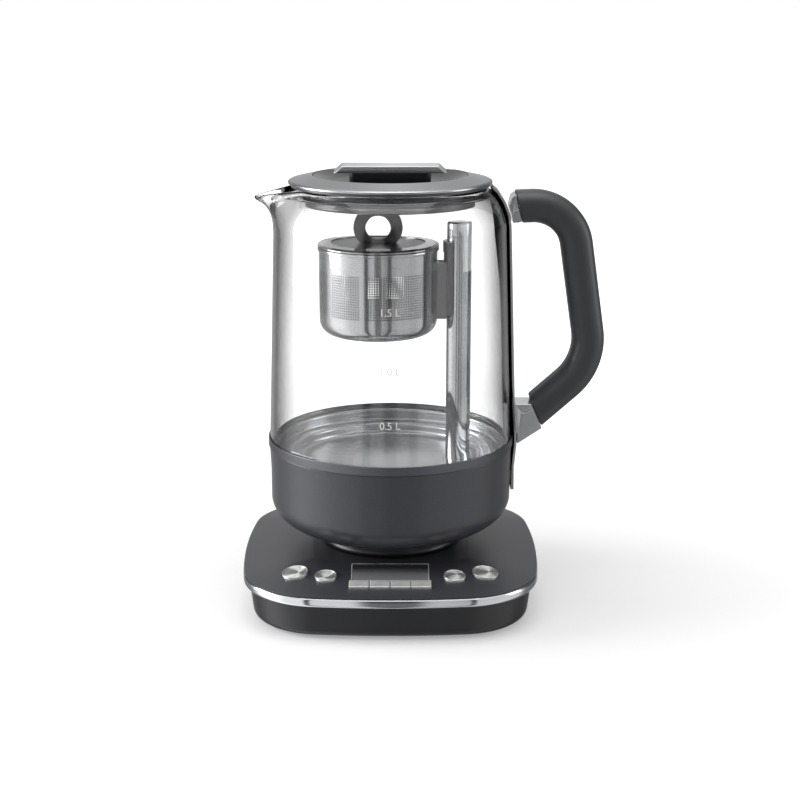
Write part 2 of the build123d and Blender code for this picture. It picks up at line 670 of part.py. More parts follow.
post_inner = post_radius - post_wall
cap_bottom = post_top - cap_height
post_low = pan_floor - 8
with BuildPart() as screw_bushes:
    cylinder_between(frame_level - 3, frame_top, bush_radius, post_spot)
    cylinder_between(frame_top, frame_top + 0.7, 6.2, post_spot)
    cylinder_between(frame_level - 0.1, frame_top + 0.7, screw_radius + running_gap, post_spot, Mode.SUBTRACT)
    tube_between(cap_bottom - 8, cap_bottom - 4, post_inner - 0.02, screw_radius + running_gap, post_spot)
screw_bushes.part.label = "screw_bushes"
export_step(screw_bushes.part, "parts/screw_bushes.step")

with BuildPart() as lead_screw:
    cylinder_between(frame_level, cap_bottom - 3, screw_radius, post_spot)
lead_screw.part.label = "lead_screw"
export_step(lead_screw.part, "parts/lead_screw.step")

with BuildPart() as lift_post:
    cylinder_between(post_low, cap_bottom, post_radius, post_spot)
    cylinder_between(pan_floor + pan_sheet + 0.1, pan_floor + pan_sheet + 2.4, post_radius + 1.5, post_spot)
    cylinder_between(post_low, cap_bottom, post_inner, post_spot, Mode.SUBTRACT)
lift_post.part.label = "lift_post"
export_step(lift_post.part, "parts/lift_post.step")

with BuildPart() as post_cap:
    cylinder_between(cap_bottom, post_top, post_radius, post_spot)
    fillet(post_cap.faces().sort_by(Axis.Z)[-1].edges(), 1.2)
    cylinder_between(cap_bottom - 2, cap_bottom, post_inner - 0.02, post_spot)
post_cap.part.label = "post_cap"
export_step(post_cap.part, "parts/post_cap.step")

with BuildPart() as post_nut:
    with BuildSketch(Plane.XY.offset(post_low + 3)):
        with Locations(*post_spot):
            RegularPolygon(11.5, 6)
            Circle(post_radius + 0.02, mode=Mode.SUBTRACT)
    extrude(amount=pan_floor - 0.1 - post_low - 3)
post_nut.part.label = "post_nut"
export_step(post_nut.part, "parts/post_nut.step")

carrier_low = basket_bottom + 19
carrier_height = 30.0
with BuildPart() as magnet_carrier:
    cylinder_between(carrier_low, carrier_low + carrier_height, post_inner - 0.4, post_spot)
    tube_between(carrier_low + 5, carrier_low + carrier_height - 5, post_inner, 4.2, post_spot, Mode.SUBTRACT)
    cylinder_between(carrier_low, carrier_low + carrier_height, screw_radius + running_gap, post_spot,
                     Mode.SUBTRACT)
magnet_carrier.part.label = "magnet_carrier"
export_step(magnet_carrier.part, "parts/magnet_carrier.step")

with BuildPart() as carrier_magnets:
    for third in range(2):
        low = carrier_low + 5.1 + third * (carrier_height - 10) / 2
        tube_between(low, low + (carrier_height - 10) / 2 - 0.2, post_inner - 0.4, 4.25, post_spot)
carrier_magnets.part.label = "carrier_magnets"
export_step(carrier_magnets.part, "parts/carrier_magnets.step")

# ---- Glass ----
outer_shoulder = [(0, -22.6), (-1.1, -17.1), (-4.0, -10.1), (-7.6, -4.6), (-12.1, -1.0)]
inner_shoulder = [(-3.0, -22.9), (-4.2, -17.6), (-7.0, -11.6), (-10.6, -6.6), (-15.1, -3.4)]
spout_root = 56.0
spout_root_half = (21.0, 20.0)          # half width and half height of the spout where it leaves the shoulder
spout_tip_half = (3.2, 2.6)
spout_tip_drop = 7.4
spout_root_rise = 2.4


def shoulder_curve(offsets):
    """Points of the shoulder from its distances to the wall's top and the rim."""
    return [(glass_top_radius + dx, glass_rim + dz) for dx, dz in offsets]


def spout_body(start, end, wall, mode):
    """Tapering spout between two distances from the axis, thinner all round by the wall."""
    tip_z, root_z = glass_rim - spout_tip_drop, glass_rim + spout_root_rise
    faces = []
    for distance in (start, end):
        share = (distance - spout_root) / (spout_reach - spout_root)
        half_y, half_z = (a + (b - a) * share - wall for a, b in zip(spout_root_half, spout_tip_half))
        centre = (-distance, 0, root_z + (tip_z - root_z) * share)
        plane = Plane(origin=centre, x_dir=(0, 1, 0), z_dir=(-1, 0, 0))
        with BuildSketch(plane) as face:
            Ellipse(half_y, half_z)
        faces.append(face.sketch.face())
    loft(faces, ruled=True, mode=mode)


with BuildPart() as glass_jug:
    outer = shoulder_curve(outer_shoulder)
    inner = shoulder_curve(inner_shoulder)
    with BuildSketch(Plane.XZ):
        with BuildLine():
            Polyline((0, glass_bottom), (glass_bottom_radius, glass_bottom), outer[0])
            Spline(*outer, tangents=((-0.03, 1), (-1, 0.2)))
            Polyline(outer[-1], (outer[-1][0] - 0.8, glass_rim), (0, glass_rim), (0, glass_bottom))
        make_face()
    revolve(axis=Axis.Z)
    spout_body(spout_root - 4, spout_reach, 0, Mode.ADD)
    rim_slope = (spout_root_rise + spout_tip_drop) / (spout_reach - spout_root)
    level_until = spout_root + spout_root_rise / rim_slope
    far = spout_reach + 20
    side_slab(40, (-30, glass_rim), (-level_until, glass_rim),
              (-far, glass_rim - (far - level_until) * rim_slope),
              (-far, glass_rim + 60), (-30, glass_rim + 60), mode=Mode.SUBTRACT)
    with BuildSketch(Plane.XZ):
        with BuildLine():
            Polyline((0, glass_bottom), (glass_bottom_radius - glass_wall, glass_bottom), inner[0])
            Spline(*inner, tangents=((-0.03, 1), (-1, 0.4)))
            Polyline(inner[-1], (mouth_radius, glass_rim), (0, glass_rim), (0, glass_bottom))
        make_face()
    revolve(axis=Axis.Z, mode=Mode.SUBTRACT)
    spout_body(spout_root - 6, spout_reach + 1, 1.6, Mode.SUBTRACT)
glass_jug.part.label = "glass_jug"
export_step(glass_jug.part, "parts/glass_jug.step")

# ---- Handle ----
glass_lean = (glass_bottom_radius - glass_top_radius) / (outer[0][1] - glass_bottom)


def glass_radius(z):
    """Outer radius of the glass's straight wall at this height."""
    return glass_bottom_radius - (z - glass_bottom) * glass_lean


collar_top = glass_bottom + collar_overlap
collar_outer = collar_inner + pan_sheet
strap_low = jug_bottom + 23
strap_over = [(0.8, 0.3), (0.7, 0.5), (0.6, 0.7), (1.5, 0.3)]      # clear of the shoulder's points
strap_inner = [(housing_radius + 0.35, strap_low), (housing_radius + 0.35, corner_z + 18),
               (collar_outer + 0.35, step_z - 1), (collar_outer + 0.35, collar_top + 1.5),
               (glass_radius(collar_top + 6) + strap_gap, collar_top + 6),
               (glass_top_radius + strap_gap, outer[0][1] - 2)]
strap_inner += [(x + dx, z + dz) for (x, z), (dx, dz) in zip(outer[1:], strap_over)]
strap_depth = [(strap_thickness, 0)] * 6 + [(2.0, 0.5), (1.8, 1.0), (1.4, 1.6), (1.2, 1.7)]
strap_outer = [(x + dx, z + dz) for (x, z), (dx, dz) in zip(strap_inner, strap_depth)]

with BuildPart() as handle_strap:
    side_slab(strap_width / 2, *strap_inner, *reversed(strap_outer))
    with BuildSketch(Plane.YZ.offset(housing_radius)):
        with Locations(*[(0, z) for z in handle_screw_heights]):
            Circle(handle_screw_shank)
    extrude(amount=strap_thickness - 0.1, mode=Mode.SUBTRACT)
handle_strap.part.label = "handle_strap"
export_step(handle_strap.part, "parts/handle_strap.step")

with BuildPart() as jug_screws:
    cylinder_between(jug_bottom + 0.1, jug_bottom + 1.2, 3.0, pillar_spots)              # bottom cover
    cylinder_between(jug_bottom + 1.2, jug_bottom + 11, 1.2, pillar_spots)
    with BuildSketch(Plane.XY.offset(jug_bottom + 0.1)):       # screwdriver slots
        with Locations(*pillar_spots):
            Rectangle(4.4, 0.8)
    extrude(amount=0.7, mode=Mode.SUBTRACT)
    cylinder_between(frame_top, frame_top + 2, 2.8, frame_boss_spots)                    # inner frame
    cylinder_between(frame_level - 8, frame_top, 1.2, frame_boss_spots)
    with BuildSketch(Plane.YZ.offset(inner_radius - 2.1)):                               # handle strap
        with Locations(*[(0, z) for z in handle_screw_heights]):
            Circle(2.8)
    extrude(amount=1.9)
    with BuildSketch(Plane.YZ.offset(inner_radius - 1)):
        with Locations(*[(0, z) for z in handle_screw_heights]):
            Circle(handle_screw_shank - 0.02)
    extrude(amount=housing_wall + 2.6)
jug_screws.part.label = "jug_screws"
export_step(jug_screws.part, "parts/jug_screws.step")

# The grip's two ends are cut along straight lines of (x, z) points, which the brackets' faces follow.
cut_high = (glass_top_radius + 4.6, glass_rim - 4.1), (glass_top_radius + 8.4, glass_rim - 20.2)
cut_low = (glass_bottom_radius + 9.9, glass_bottom + 26.9), (glass_bottom_radius + 18.5, glass_bottom + 7.2)
grip_corners = ((glass_top_radius - 1.6, glass_rim - 12.5), (glass_top_radius + 38.0, glass_rim - 10.7),
                (glass_bottom_radius + 48.1, glass_bottom + 46.9),
                (glass_bottom_radius - 2.0, glass_bottom + 2.1))
bracket_gap = 0.15


def along(cut, z, inset=0.0):
    """Point of a cut line at this height, moved towards the jug by the inset."""
    (x0, z0), (x1, z1) = cut
    return x0 + (z - z0) * (x1 - x0) / (z1 - z0) - inset, z


def clamp_slot(x, z, length, height, turn):
    """Key slot of a clamp, in the bracket's front face."""
    with BuildSketch(Plane.XZ.offset(bracket_width / 2)) as slot:
        with Locations(Location((x, z, 0), (0, 0, turn))):
            SlotOverall(length, height)
    extrude(slot.sketch, amount=-1.5, mode=Mode.SUBTRACT)


with BuildPart() as handle_top_bracket:
    side_slab(bracket_width / 2, (glass_top_radius + 2.9, glass_rim - 21),
              (glass_top_radius + 2.15, glass_rim - 16.4), (glass_top_radius + 0.6, glass_rim - 12.0),
              (glass_top_radius + 1.9, glass_rim - 6.1),
              along(cut_high, glass_rim - 4.1, bracket_gap), along(cut_high, glass_rim - 20.2, bracket_gap),
              (glass_top_radius + 6.4, glass_rim - 20.8))
    clamp_slot(glass_top_radius + 5.6, glass_rim - 12.5, 3.4, 1.1, 20)
handle_top_bracket.part.label = "handle_top_bracket"
export_step(handle_top_bracket.part, "parts/handle_top_bracket.step")

bracket_top = glass_bottom + 22.2
with BuildPart() as handle_bottom_bracket:
    strap_face = strap_gap + strap_thickness + 0.1                     # from the glass to the strap's outside
    collar_face = collar_outer + 0.35 + strap_thickness + 0.1
    side_slab(bracket_width / 2, (collar_face, glass_bottom - 2.8), (collar_face, collar_top + 1.5),
              (glass_radius(collar_top + 6) + strap_face, collar_top + 6),
              (glass_radius(bracket_top) + strap_face, bracket_top),
              along(cut_low, bracket_top, bracket_gap), along(cut_low, glass_bottom + 7.2, bracket_gap))
    clamp_slot(glass_bottom_radius + 9.1, glass_bottom + 18.0, 7.2, 1.2, 17)
handle_bottom_bracket.part.label = "handle_bottom_bracket"
export_step(handle_bottom_bracket.part, "parts/handle_bottom_bracket.step")

with BuildPart() as handle_grip:
    with BuildLine(Plane.XZ) as path:
        FilletPolyline(*grip_corners, radius=grip_bends)
    with BuildSketch(Plane(origin=path.line @ 0, x_dir=(0, 1, 0), z_dir=path.line % 0)):
        RectangleRounded(grip_width, grip_thickness, grip_corner)
    sweep(path=path.line)
    for cut, over, under in ((cut_high, 15, 15), (cut_low, 12, 14)):   # cut both ends along their lines
        high, low = cut[0][1] + over, cut[1][1] - under
        side_slab(30, along(cut, high), along(cut, low), (glass_bottom_radius - 24, low),
                  (glass_bottom_radius - 24, high), mode=Mode.SUBTRACT)
handle_grip.part.label = "handle_grip"
export_step(handle_grip.part, "parts/handle_grip.step")

# ==== Lid ====
lid_level = glass_rim + 0.3
lid_ceiling = lid_level - 2.5
handle_post_half = (24.0, 8.0)
disc_flat = lid_level + 2.0
handle_low = lid_level + 8.2
lid_screw_spots = ((-16, 0), (16, 0))
lid_screw_shank = 1.5

with BuildPart() as lid_plug:
    inner_skirt = lid_plug_radius - 2.5
    revolved((0, lid_ceiling), (inner_skirt, lid_ceiling), (inner_skirt, lid_level - lid_plug_depth),
             (lid_plug_radius, lid_level - lid_plug_depth), (lid_plug_radius, lid_level),
             (lid_ring_radius - 1.5, lid_level), (lid_ring_radius - 1.5, lid_level + 1.8),
             (inner_skirt, lid_level + 1.8), (inner_skirt, lid_ceiling + 1.5), (0, lid_ceiling + 1.5))
    cylinder_between(lid_ceiling, lid_ceiling + 1.5, lid_screw_shank + 0.1, lid_screw_spots, Mode.SUBTRACT)
lid_plug.part.label = "lid_plug"
export_step(lid_plug.part, "parts/lid_plug.step")

with BuildPart() as lid_seal:
    revolved((lid_plug_radius + 0.05, lid_level - 4.6), (mouth_radius - 1.2, lid_level - 3.7),
             (mouth_radius - 0.3, lid_level - 2.6), (lid_plug_radius + 0.05, lid_level - 1.6))
lid_seal.part.label = "lid_seal"
export_step(lid_seal.part, "parts/lid_seal.step")

with BuildPart() as lid_ring:
    ring_low = lid_level + 1.85
    revolved((lid_ring_radius, ring_low), (lid_ring_radius, ring_low + 1.1),
             (lid_ring_radius - 0.4, ring_low + 1.4), (lid_disc_radius + 0.2, ring_low + 4.8),
             (lid_disc_radius + 0.2, ring_low))
lid_ring.part.label = "lid_ring"
export_step(lid_ring.part, "parts/lid_ring.step")

with BuildPart() as lid_disc:
    revolved((0, lid_ceiling + 1.55), (lid_disc_radius, lid_ceiling + 1.55), (lid_disc_radius, ring_low + 4.4),
             (lid_disc_radius - 1.2, ring_low + 4.4), (33, disc_flat + 0.8), (29, disc_flat), (0, disc_flat))
    with BuildSketch(Plane.XY.offset(disc_flat - 1)):          # post under the handle
        RectangleRounded(2 * handle_post_half[0], 2 * handle_post_half[1], 3)
    extrude(amount=handle_low - disc_flat + 1)
    cylinder_between(lid_ceiling, handle_low, lid_screw_shank + 0.1, lid_screw_spots, Mode.SUBTRACT)
lid_disc.part.label = "lid_disc"
export_step(lid_disc.part, "parts/lid_disc.step")

with BuildPart() as lid_handle:
    low_half, top_half = lid_handle_length / 2, lid_handle_top_length / 2
    side_slab(lid_handle_depth / 2, (-low_half, handle_low), (low_half, handle_low),
              (top_half, handle_low + lid_handle_thickness), (-top_half, handle_low + lid_handle_thickness))
    cylinder_between(handle_low, handle_low + 2.6, lid_screw_shank + 0.02, lid_screw_spots, Mode.SUBTRACT)
lid_handle.part.label = "lid_handle"
export_step(lid_handle.part, "parts/lid_handle.step")

with BuildPart() as lid_screws:
    cylinder_between(lid_ceiling - 1.6, lid_ceiling, 3.0, lid_screw_spots)
    cylinder_between(lid_ceiling, handle_low + 2.4, lid_screw_shank, lid_screw_spots)
lid_screws.part.label = "lid_screws"
export_step(lid_screws.part, "parts/lid_screws.step")

# ==== Basket ====
basket_spot = ((basket_x, 0),)
bay_count = 12
bay_width = 12.0
slot_rows = 9
slot_pitch = 3.9
slot_height = 1.5

with BuildPart() as tea_basket:
    cylinder_between(basket_bottom, basket_rim, basket_radius, basket_spot)
    fillet(tea_basket.faces().sort_by(Axis.Z)[0].edges(), basket_corner)
    offset(amount=-basket_wall, openings=tea_basket.faces().sort_by(Axis.Z)[-1])
    tube_between(basket_rim - 1.4, basket_rim + 0.6, basket_radius + 1, basket_radius - basket_wall,
                 basket_spot)
    with Locations((basket_x, 0, basket_bottom + 26.5)):
        with PolarLocations(basket_radius - 1.5, bay_count, start_angle=15):
            with Locations(*[(0, 0, (row - (slot_rows - 1) / 2) * slot_pitch) for row in range(slot_rows)]):
                Box(8, bay_width, slot_height, mode=Mode.SUBTRACT)
tea_basket.part.label = "tea_basket"
export_step(tea_basket.part, "parts/tea_basket.step")

bracket_low = basket_bottom + 9.5
with BuildPart() as basket_bracket:
    with BuildSketch(Plane.XY.offset(bracket_low)):
        with Locations((29.5, 0)):
            Rectangle(9, 12)
    extrude(amount=34)
    with BuildSketch(Plane.XY.offset(bracket_low + 2.5)):
        with Locations(*post_spot):
            Circle(post_radius + 2.3)
            Circle(post_radius + 0.3, mode=Mode.SUBTRACT)
        Polygon((post_x, 0), (post_x - 10, 17.3), (20, 17.3), (20, -17.3), (post_x - 10, -17.3),
                align=None, mode=Mode.INTERSECT)
    extrude(amount=44)
    cylinder_between(bracket_low, bracket_low + 50, post_radius + 0.3, post_spot, Mode.SUBTRACT)
    cylinder_between(bracket_low, bracket_low + 50, basket_radius + 0.02, basket_spot, Mode.SUBTRACT)
    with BuildSketch(Plane.XY.offset(bracket_low + 6)):
        with Locations((30.5, 0)):
            Rectangle(3.2, 8.2)
    extrude(amount=34, mode=Mode.SUBTRACT)
basket_bracket.part.label = "basket_bracket"
export_step(basket_bracket.part, "parts/basket_bracket.step")

with BuildPart() as basket_magnet:
    with BuildSketch(Plane.XY.offset(bracket_low + 6)):
        with Locations((30.5, 0)):
            Rectangle(3.0, 8.0)
    extrude(amount=27)
basket_magnet.part.label = "basket_magnet"
export_step(basket_magnet.part, "parts/basket_magnet.step")

basket_lid_low = basket_rim + 0.9
centre_radius = 28.2
with BuildPart() as basket_lid_rim:
    revolved((centre_radius + 0.05, basket_lid_low), (basket_radius + 0.9, basket_lid_low),
             (basket_radius + 0.9, basket_lid_low + 0.8), (basket_radius - 0.6, basket_lid_low + 1.8),
             (centre_radius + 0.05, basket_lid_low + 2.2), centre=basket_x)
    tube_between(basket_lid_low - 4, basket_lid_low, basket_radius - basket_wall - 0.3, basket_radius - 1.8,
                 basket_spot)
basket_lid_rim.part.label = "basket_lid_rim"
export_step(basket_lid_rim.part, "parts/basket_lid_rim.step")

with BuildPart() as basket_lid_centre:
    cylinder_between(basket_lid_low - 1.0, basket_lid_low - 0.05, centre_radius + 2.8, basket_spot)
    cylinder_between(basket_lid_low - 1.0, basket_lid_low + 1.4, centre_radius, basket_spot)
basket_lid_centre.part.label = "basket_lid_centre"
export_step(basket_lid_centre.part, "parts/basket_lid_centre.step")

with BuildPart() as basket_lid_pull:
    pull_z = basket_lid_low + 11.5
    with BuildSketch(Plane.XZ):
        with Locations((basket_x, pull_z)):
            Circle(pull_ring_radius)
            Circle(pull_hole_radius, mode=Mode.SUBTRACT)
        with Locations((basket_x, basket_lid_low + 1.45 + 30)):
            Rectangle(60, 60, mode=Mode.INTERSECT)
    extrude(amount=pull_thickness / 2, both=True)
    fillet(basket_lid_pull.edges().filter_by(GeomType.CIRCLE), 0.5)
basket_lid_pull.part.label = "basket_lid_pull"
export_step(basket_lid_pull.part, "parts/basket_lid_pull.step")
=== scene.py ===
import bmesh
import bpy
import math
import numpy as np
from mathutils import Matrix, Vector


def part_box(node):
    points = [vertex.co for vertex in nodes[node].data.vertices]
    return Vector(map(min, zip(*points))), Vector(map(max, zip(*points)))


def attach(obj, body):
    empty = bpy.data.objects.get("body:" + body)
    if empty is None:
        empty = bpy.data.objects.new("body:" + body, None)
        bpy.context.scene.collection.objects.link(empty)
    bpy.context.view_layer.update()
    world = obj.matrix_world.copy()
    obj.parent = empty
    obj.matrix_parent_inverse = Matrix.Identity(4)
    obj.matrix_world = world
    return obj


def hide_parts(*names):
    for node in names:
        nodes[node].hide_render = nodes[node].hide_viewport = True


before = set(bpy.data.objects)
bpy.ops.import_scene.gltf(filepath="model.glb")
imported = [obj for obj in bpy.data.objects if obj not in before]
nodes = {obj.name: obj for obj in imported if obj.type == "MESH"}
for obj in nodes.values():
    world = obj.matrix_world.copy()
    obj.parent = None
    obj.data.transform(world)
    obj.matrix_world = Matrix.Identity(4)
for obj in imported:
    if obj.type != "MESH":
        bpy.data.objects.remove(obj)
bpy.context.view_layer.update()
mm = 0.001
print("frame loaded", len(nodes), "nodes")


def hexToLinear(code):
    # sRGB hex to linear colour with alpha 1
    parts = [int(code[i:i + 2], 16) / 255 for i in (1, 3, 5)]
    return [c / 12.92 if c <= 0.04045 else ((c + 0.055) / 1.055) ** 2.4 for c in parts] + [1.0]


def outputOf(source):
    # a node stands for its first output
    return source if isinstance(source, bpy.types.NodeSocket) else source.outputs[0]


def addNode(tree, kind, settings=None, links=None):
    # one shader node with its settings (socket names, socket numbers or properties) and what feeds it
    node = tree.nodes.new("ShaderNode" + kind)
    for key, value in (settings or {}).items():
        if key == "stops":
            while len(node.color_ramp.elements) < len(value):
                node.color_ramp.elements.new(0.5)
            for element, (place, shade) in zip(node.color_ramp.elements, value):
                element.position = place
                element.color = hexToLinear(shade) if isinstance(shade, str) else [shade] * 3 + [1.0]
        elif isinstance(key, int) or key in node.inputs:
            node.inputs[key].default_value = value
        else:
            setattr(node, key, value)
    for key, source in (links or {}).items():
        tree.links.new(outputOf(source), node.inputs[key])
    return node


def combine(tree, operation, first, second, clamp=False):
    # a sum of two values, each a number or what another node gives
    values = {0: first, 1: second}
    numbers = {key: value for key, value in values.items() if isinstance(value, (int, float))}
    links = {key: value for key, value in values.items() if key not in numbers}
    return addNode(tree, "Math", {"operation": operation, "use_clamp": clamp, **numbers}, links)


def addNoise(tree, place, scale, detail, roughness=0.5):
    # fractal noise over coordinates
    settings = {"Scale": scale, "Detail": detail, "Roughness": roughness}
    return addNode(tree, "TexNoise", settings, {"Vector": place})


def remap(tree, source, low, high, fromLow=0.0, fromHigh=1.0):
    # a value taken from one range to another and held at its ends
    settings = {"From Min": fromLow, "From Max": fromHigh, "To Min": low, "To Max": high}
    return addNode(tree, "MapRange", settings, {"Value": source})


def flatReach(tree, place):
    # the distance from the upright axis, and the node that splits the coordinates
    split = addNode(tree, "SeparateXYZ", links={0: place})
    flat = addNode(tree, "CombineXYZ", links={"X": split.outputs[0], "Y": split.outputs[1]})
    return addNode(tree, "VectorMath", {"operation": "LENGTH"}, {0: flat}).outputs["Value"], split


def startMaterial(name, settings):
    # a Principled material: the material, its tree, its shader and its Object coordinates
    material = bpy.data.materials.new(name)
    material.use_nodes = True
    tree = material.node_tree
    tree.nodes.clear()
    shader = addNode(tree, "BsdfPrincipled", settings)
    addNode(tree, "OutputMaterial", links={"Surface": shader})
    return material, tree, shader, addNode(tree, "TexCoord").outputs["Object"]


def setTone(tree, shader, colour, source, low, high):
    # the base colour, made darker and lighter by a pattern
    level = remap(tree, source, low, high)
    tone = addNode(tree, "HueSaturation", {"Color": hexToLinear(colour)}, {"Value": level})
    tree.links.new(tone.outputs[0], shader.inputs["Base Color"])
    return tone


def setRoughness(tree, shader, source, low, high):
    # a roughness that wanders with a pattern
    tree.links.new(remap(tree, source, low, high).outputs[0], shader.inputs["Roughness"])


def setBump(tree, shader, source, strength, distance):
    # a fine relief from a pattern
    bump = addNode(tree, "Bump", {"Strength": strength, "Distance": distance}, {"Height": source})
    tree.links.new(bump.outputs[0], shader.inputs["Normal"])


# materials

def mouldedPlastic(name, colour, roughness, grainMm=0.5, bumpMm=0.012, spread=0.04):
    # satin ABS from a spark-eroded mould: a fine even grain, and gloss that wanders a little
    material, tree, shader, place = startMaterial(name, {"Roughness": roughness, "IOR": 1.5})
    grain = addNoise(tree, place, 1 / (grainMm * mm), 3.0, 0.6)
    cloud = addNoise(tree, place, 14.0, 4.0)
    setTone(tree, shader, colour, cloud, 1 - spread * 2, 1 + spread * 2)
    setRoughness(tree, shader, cloud, roughness - spread, roughness + spread)
    setBump(tree, shader, grain, 0.35, bumpMm * mm)
    return material


def softRubber(name, colour):
    # moulded silicone: dull, with a dusting that lightens it in patches
    return mouldedPlastic(name, colour, 0.62, 0.8, 0.02, 0.06)


def polishedPlate(name, colour, roughness):
    # bright nickel-chrome plating: a mirror with the faint swirl that buffing leaves
    settings = {"Metallic": 1.0, "Base Color": hexToLinear(colour)}
    material, tree, shader, place = startMaterial(name, settings)
    setRoughness(tree, shader, addNoise(tree, place, 90.0, 5.0), roughness * 0.6, roughness * 1.5)
    return material


def brushedSteel(name, colour, roughness, axis="round", centre=(0.0, 0.0, 0.0), depth=0.5, metal=1.0,
                 stretch=0.45):
    # stainless steel with a belt-brushed or turned finish: fine lines that follow the turning or one axis
    lineMm, along, aroundShare = 0.35, 0.012, 0.0015
    material, tree, shader, place = startMaterial(name, {"Metallic": metal, "Anisotropic": stretch})
    moved = addNode(tree, "VectorMath", {"operation": "SUBTRACT", 1: centre}, {0: place})
    if axis == "round":
        reach, split = flatReach(tree, moved)
        turn = combine(tree, "ARCTAN2", split.outputs[1], split.outputs[0])
        slow = combine(tree, "MULTIPLY", turn, aroundShare)
        lines = addNode(tree, "CombineXYZ", links={"X": reach, "Y": slow, "Z": split.outputs[2]})
    else:
        order = [along if letter == axis else 1.0 for letter in "xyz"]
        lines = addNode(tree, "VectorMath", {"operation": "MULTIPLY", 1: order}, {0: moved})
    brush = addNoise(tree, lines, 1 / (lineMm * mm), 2.0, 0.7)
    setTone(tree, shader, colour, brush, 0.9, 1.1)
    setRoughness(tree, shader, brush, roughness * 0.8, roughness * 1.3)
    setBump(tree, shader, brush, depth, 0.01 * mm)
    return material


def metallicLacquer(name, colour, roughness, metal, paintedShadeColour=None, paintedShadeRadius=44.0):
    # baked slate lacquer with fine aluminium flake; on the deck, painted shade darkens it to near black within a
    # radius, where the jug's seat lies in shadow
    settings = {"Metallic": metal, "Coat Weight": 0.15, "Coat Roughness": 0.35, "Coat IOR": 1.5}
    material, tree, shader, place = startMaterial(name, settings)
    flake = addNode(tree, "TexVoronoi", {"Scale": 1 / (0.35 * mm)}, {"Vector": place})
    speck = addNode(tree, "SeparateColor", links={0: flake.outputs["Color"]})
    tone = setTone(tree, shader, colour, speck, 0.9, 1.1)
    # painted shade: inside the radius the colour goes over to near black, where the jug's seat lies in shadow
    if paintedShadeColour:
        within = remap(tree, flatReach(tree, place)[0], 1.0, 0.0, (paintedShadeRadius - 1) * mm, (paintedShadeRadius + 1) * mm)
        mixing = {"data_type": "RGBA", "B": hexToLinear(paintedShadeColour)}
        shade = addNode(tree, "Mix", mixing, {"Factor": within, "A": tone})
        tree.links.new(shade.outputs["Result"], shader.inputs["Base Color"])
    setRoughness(tree, shader, addNoise(tree, place, 9.0, 3.0), roughness - 0.03, roughness + 0.03)
    return material


def clearGlass(name, edgeShadeStops):
    # drawn borosilicate: clear face on, with painted shade that greys it the more the wall turns away, standing in
    # for the dark edges of a curved wall
    settings = {"Transmission Weight": 1.0, "Roughness": 0.0, "IOR": 1.47}
    material, tree, shader, place = startMaterial(name, settings)
    # painted shade: the base colour darkens as the wall turns edge on
    turned = addNode(tree, "LayerWeight", {"Blend": 0.5})
    body = addNode(tree, "ValToRGB", {"stops": edgeShadeStops}, {"Fac": turned.outputs["Facing"]})
    tree.links.new(body.outputs[0], shader.inputs["Base Color"])
    setBump(tree, shader, addNoise(tree, place, 18.0, 1.0), 0.05, 0.05 * mm)
    return material


def tintedCover(name, farColour, nearColour, nearY, farY):
    # tinted acrylic over an unlit panel: lighter towards its near edge and darker towards its far one
    material, tree, shader, place = startMaterial(name, {"Roughness": 0.16, "IOR": 1.49})
    split = addNode(tree, "SeparateXYZ", links={0: place})
    depth = remap(tree, split.outputs[1], 0.0, 1.0, nearY * mm, farY * mm)
    mottle = addNoise(tree, place, 700.0, 2.0)
    wobble = addNode(tree, "Math", {"operation": "MULTIPLY_ADD", 1: 0.08}, {0: mottle, 2: depth})
    stops = ((0.0, nearColour), (0.45, nearColour), (0.8, farColour), (1.0, farColour))
    tone = addNode(tree, "ValToRGB", {"stops": stops}, {"Fac": wobble})
    tree.links.new(tone.outputs[0], shader.inputs["Base Color"])
    return material


def spunKey(name, colour):
    # bright aluminium with a lathe-turned face: the rings throw light into narrow fans from the centre
    material, tree, shader, _ = startMaterial(name, {"Metallic": 0.8, "Anisotropic": 0.9})
    local = addNode(tree, "Attribute", {"attribute_name": "keyLocal"}).outputs["Vector"]
    outwards = addNode(tree, "Attribute", {"attribute_name": "turning"}).outputs["Vector"]
    tree.links.new(outwards, shader.inputs["Tangent"])
    rings = addNode(tree, "CombineXYZ", links={"X": flatReach(tree, local)[0]})
    turning = addNoise(tree, rings, 1 / (0.25 * mm), 2.0)
    setTone(tree, shader, colour, turning, 0.86, 1.08)
    setRoughness(tree, shader, turning, 0.42, 0.56)
    setBump(tree, shader, turning, 0.4, 0.01 * mm)
    return material


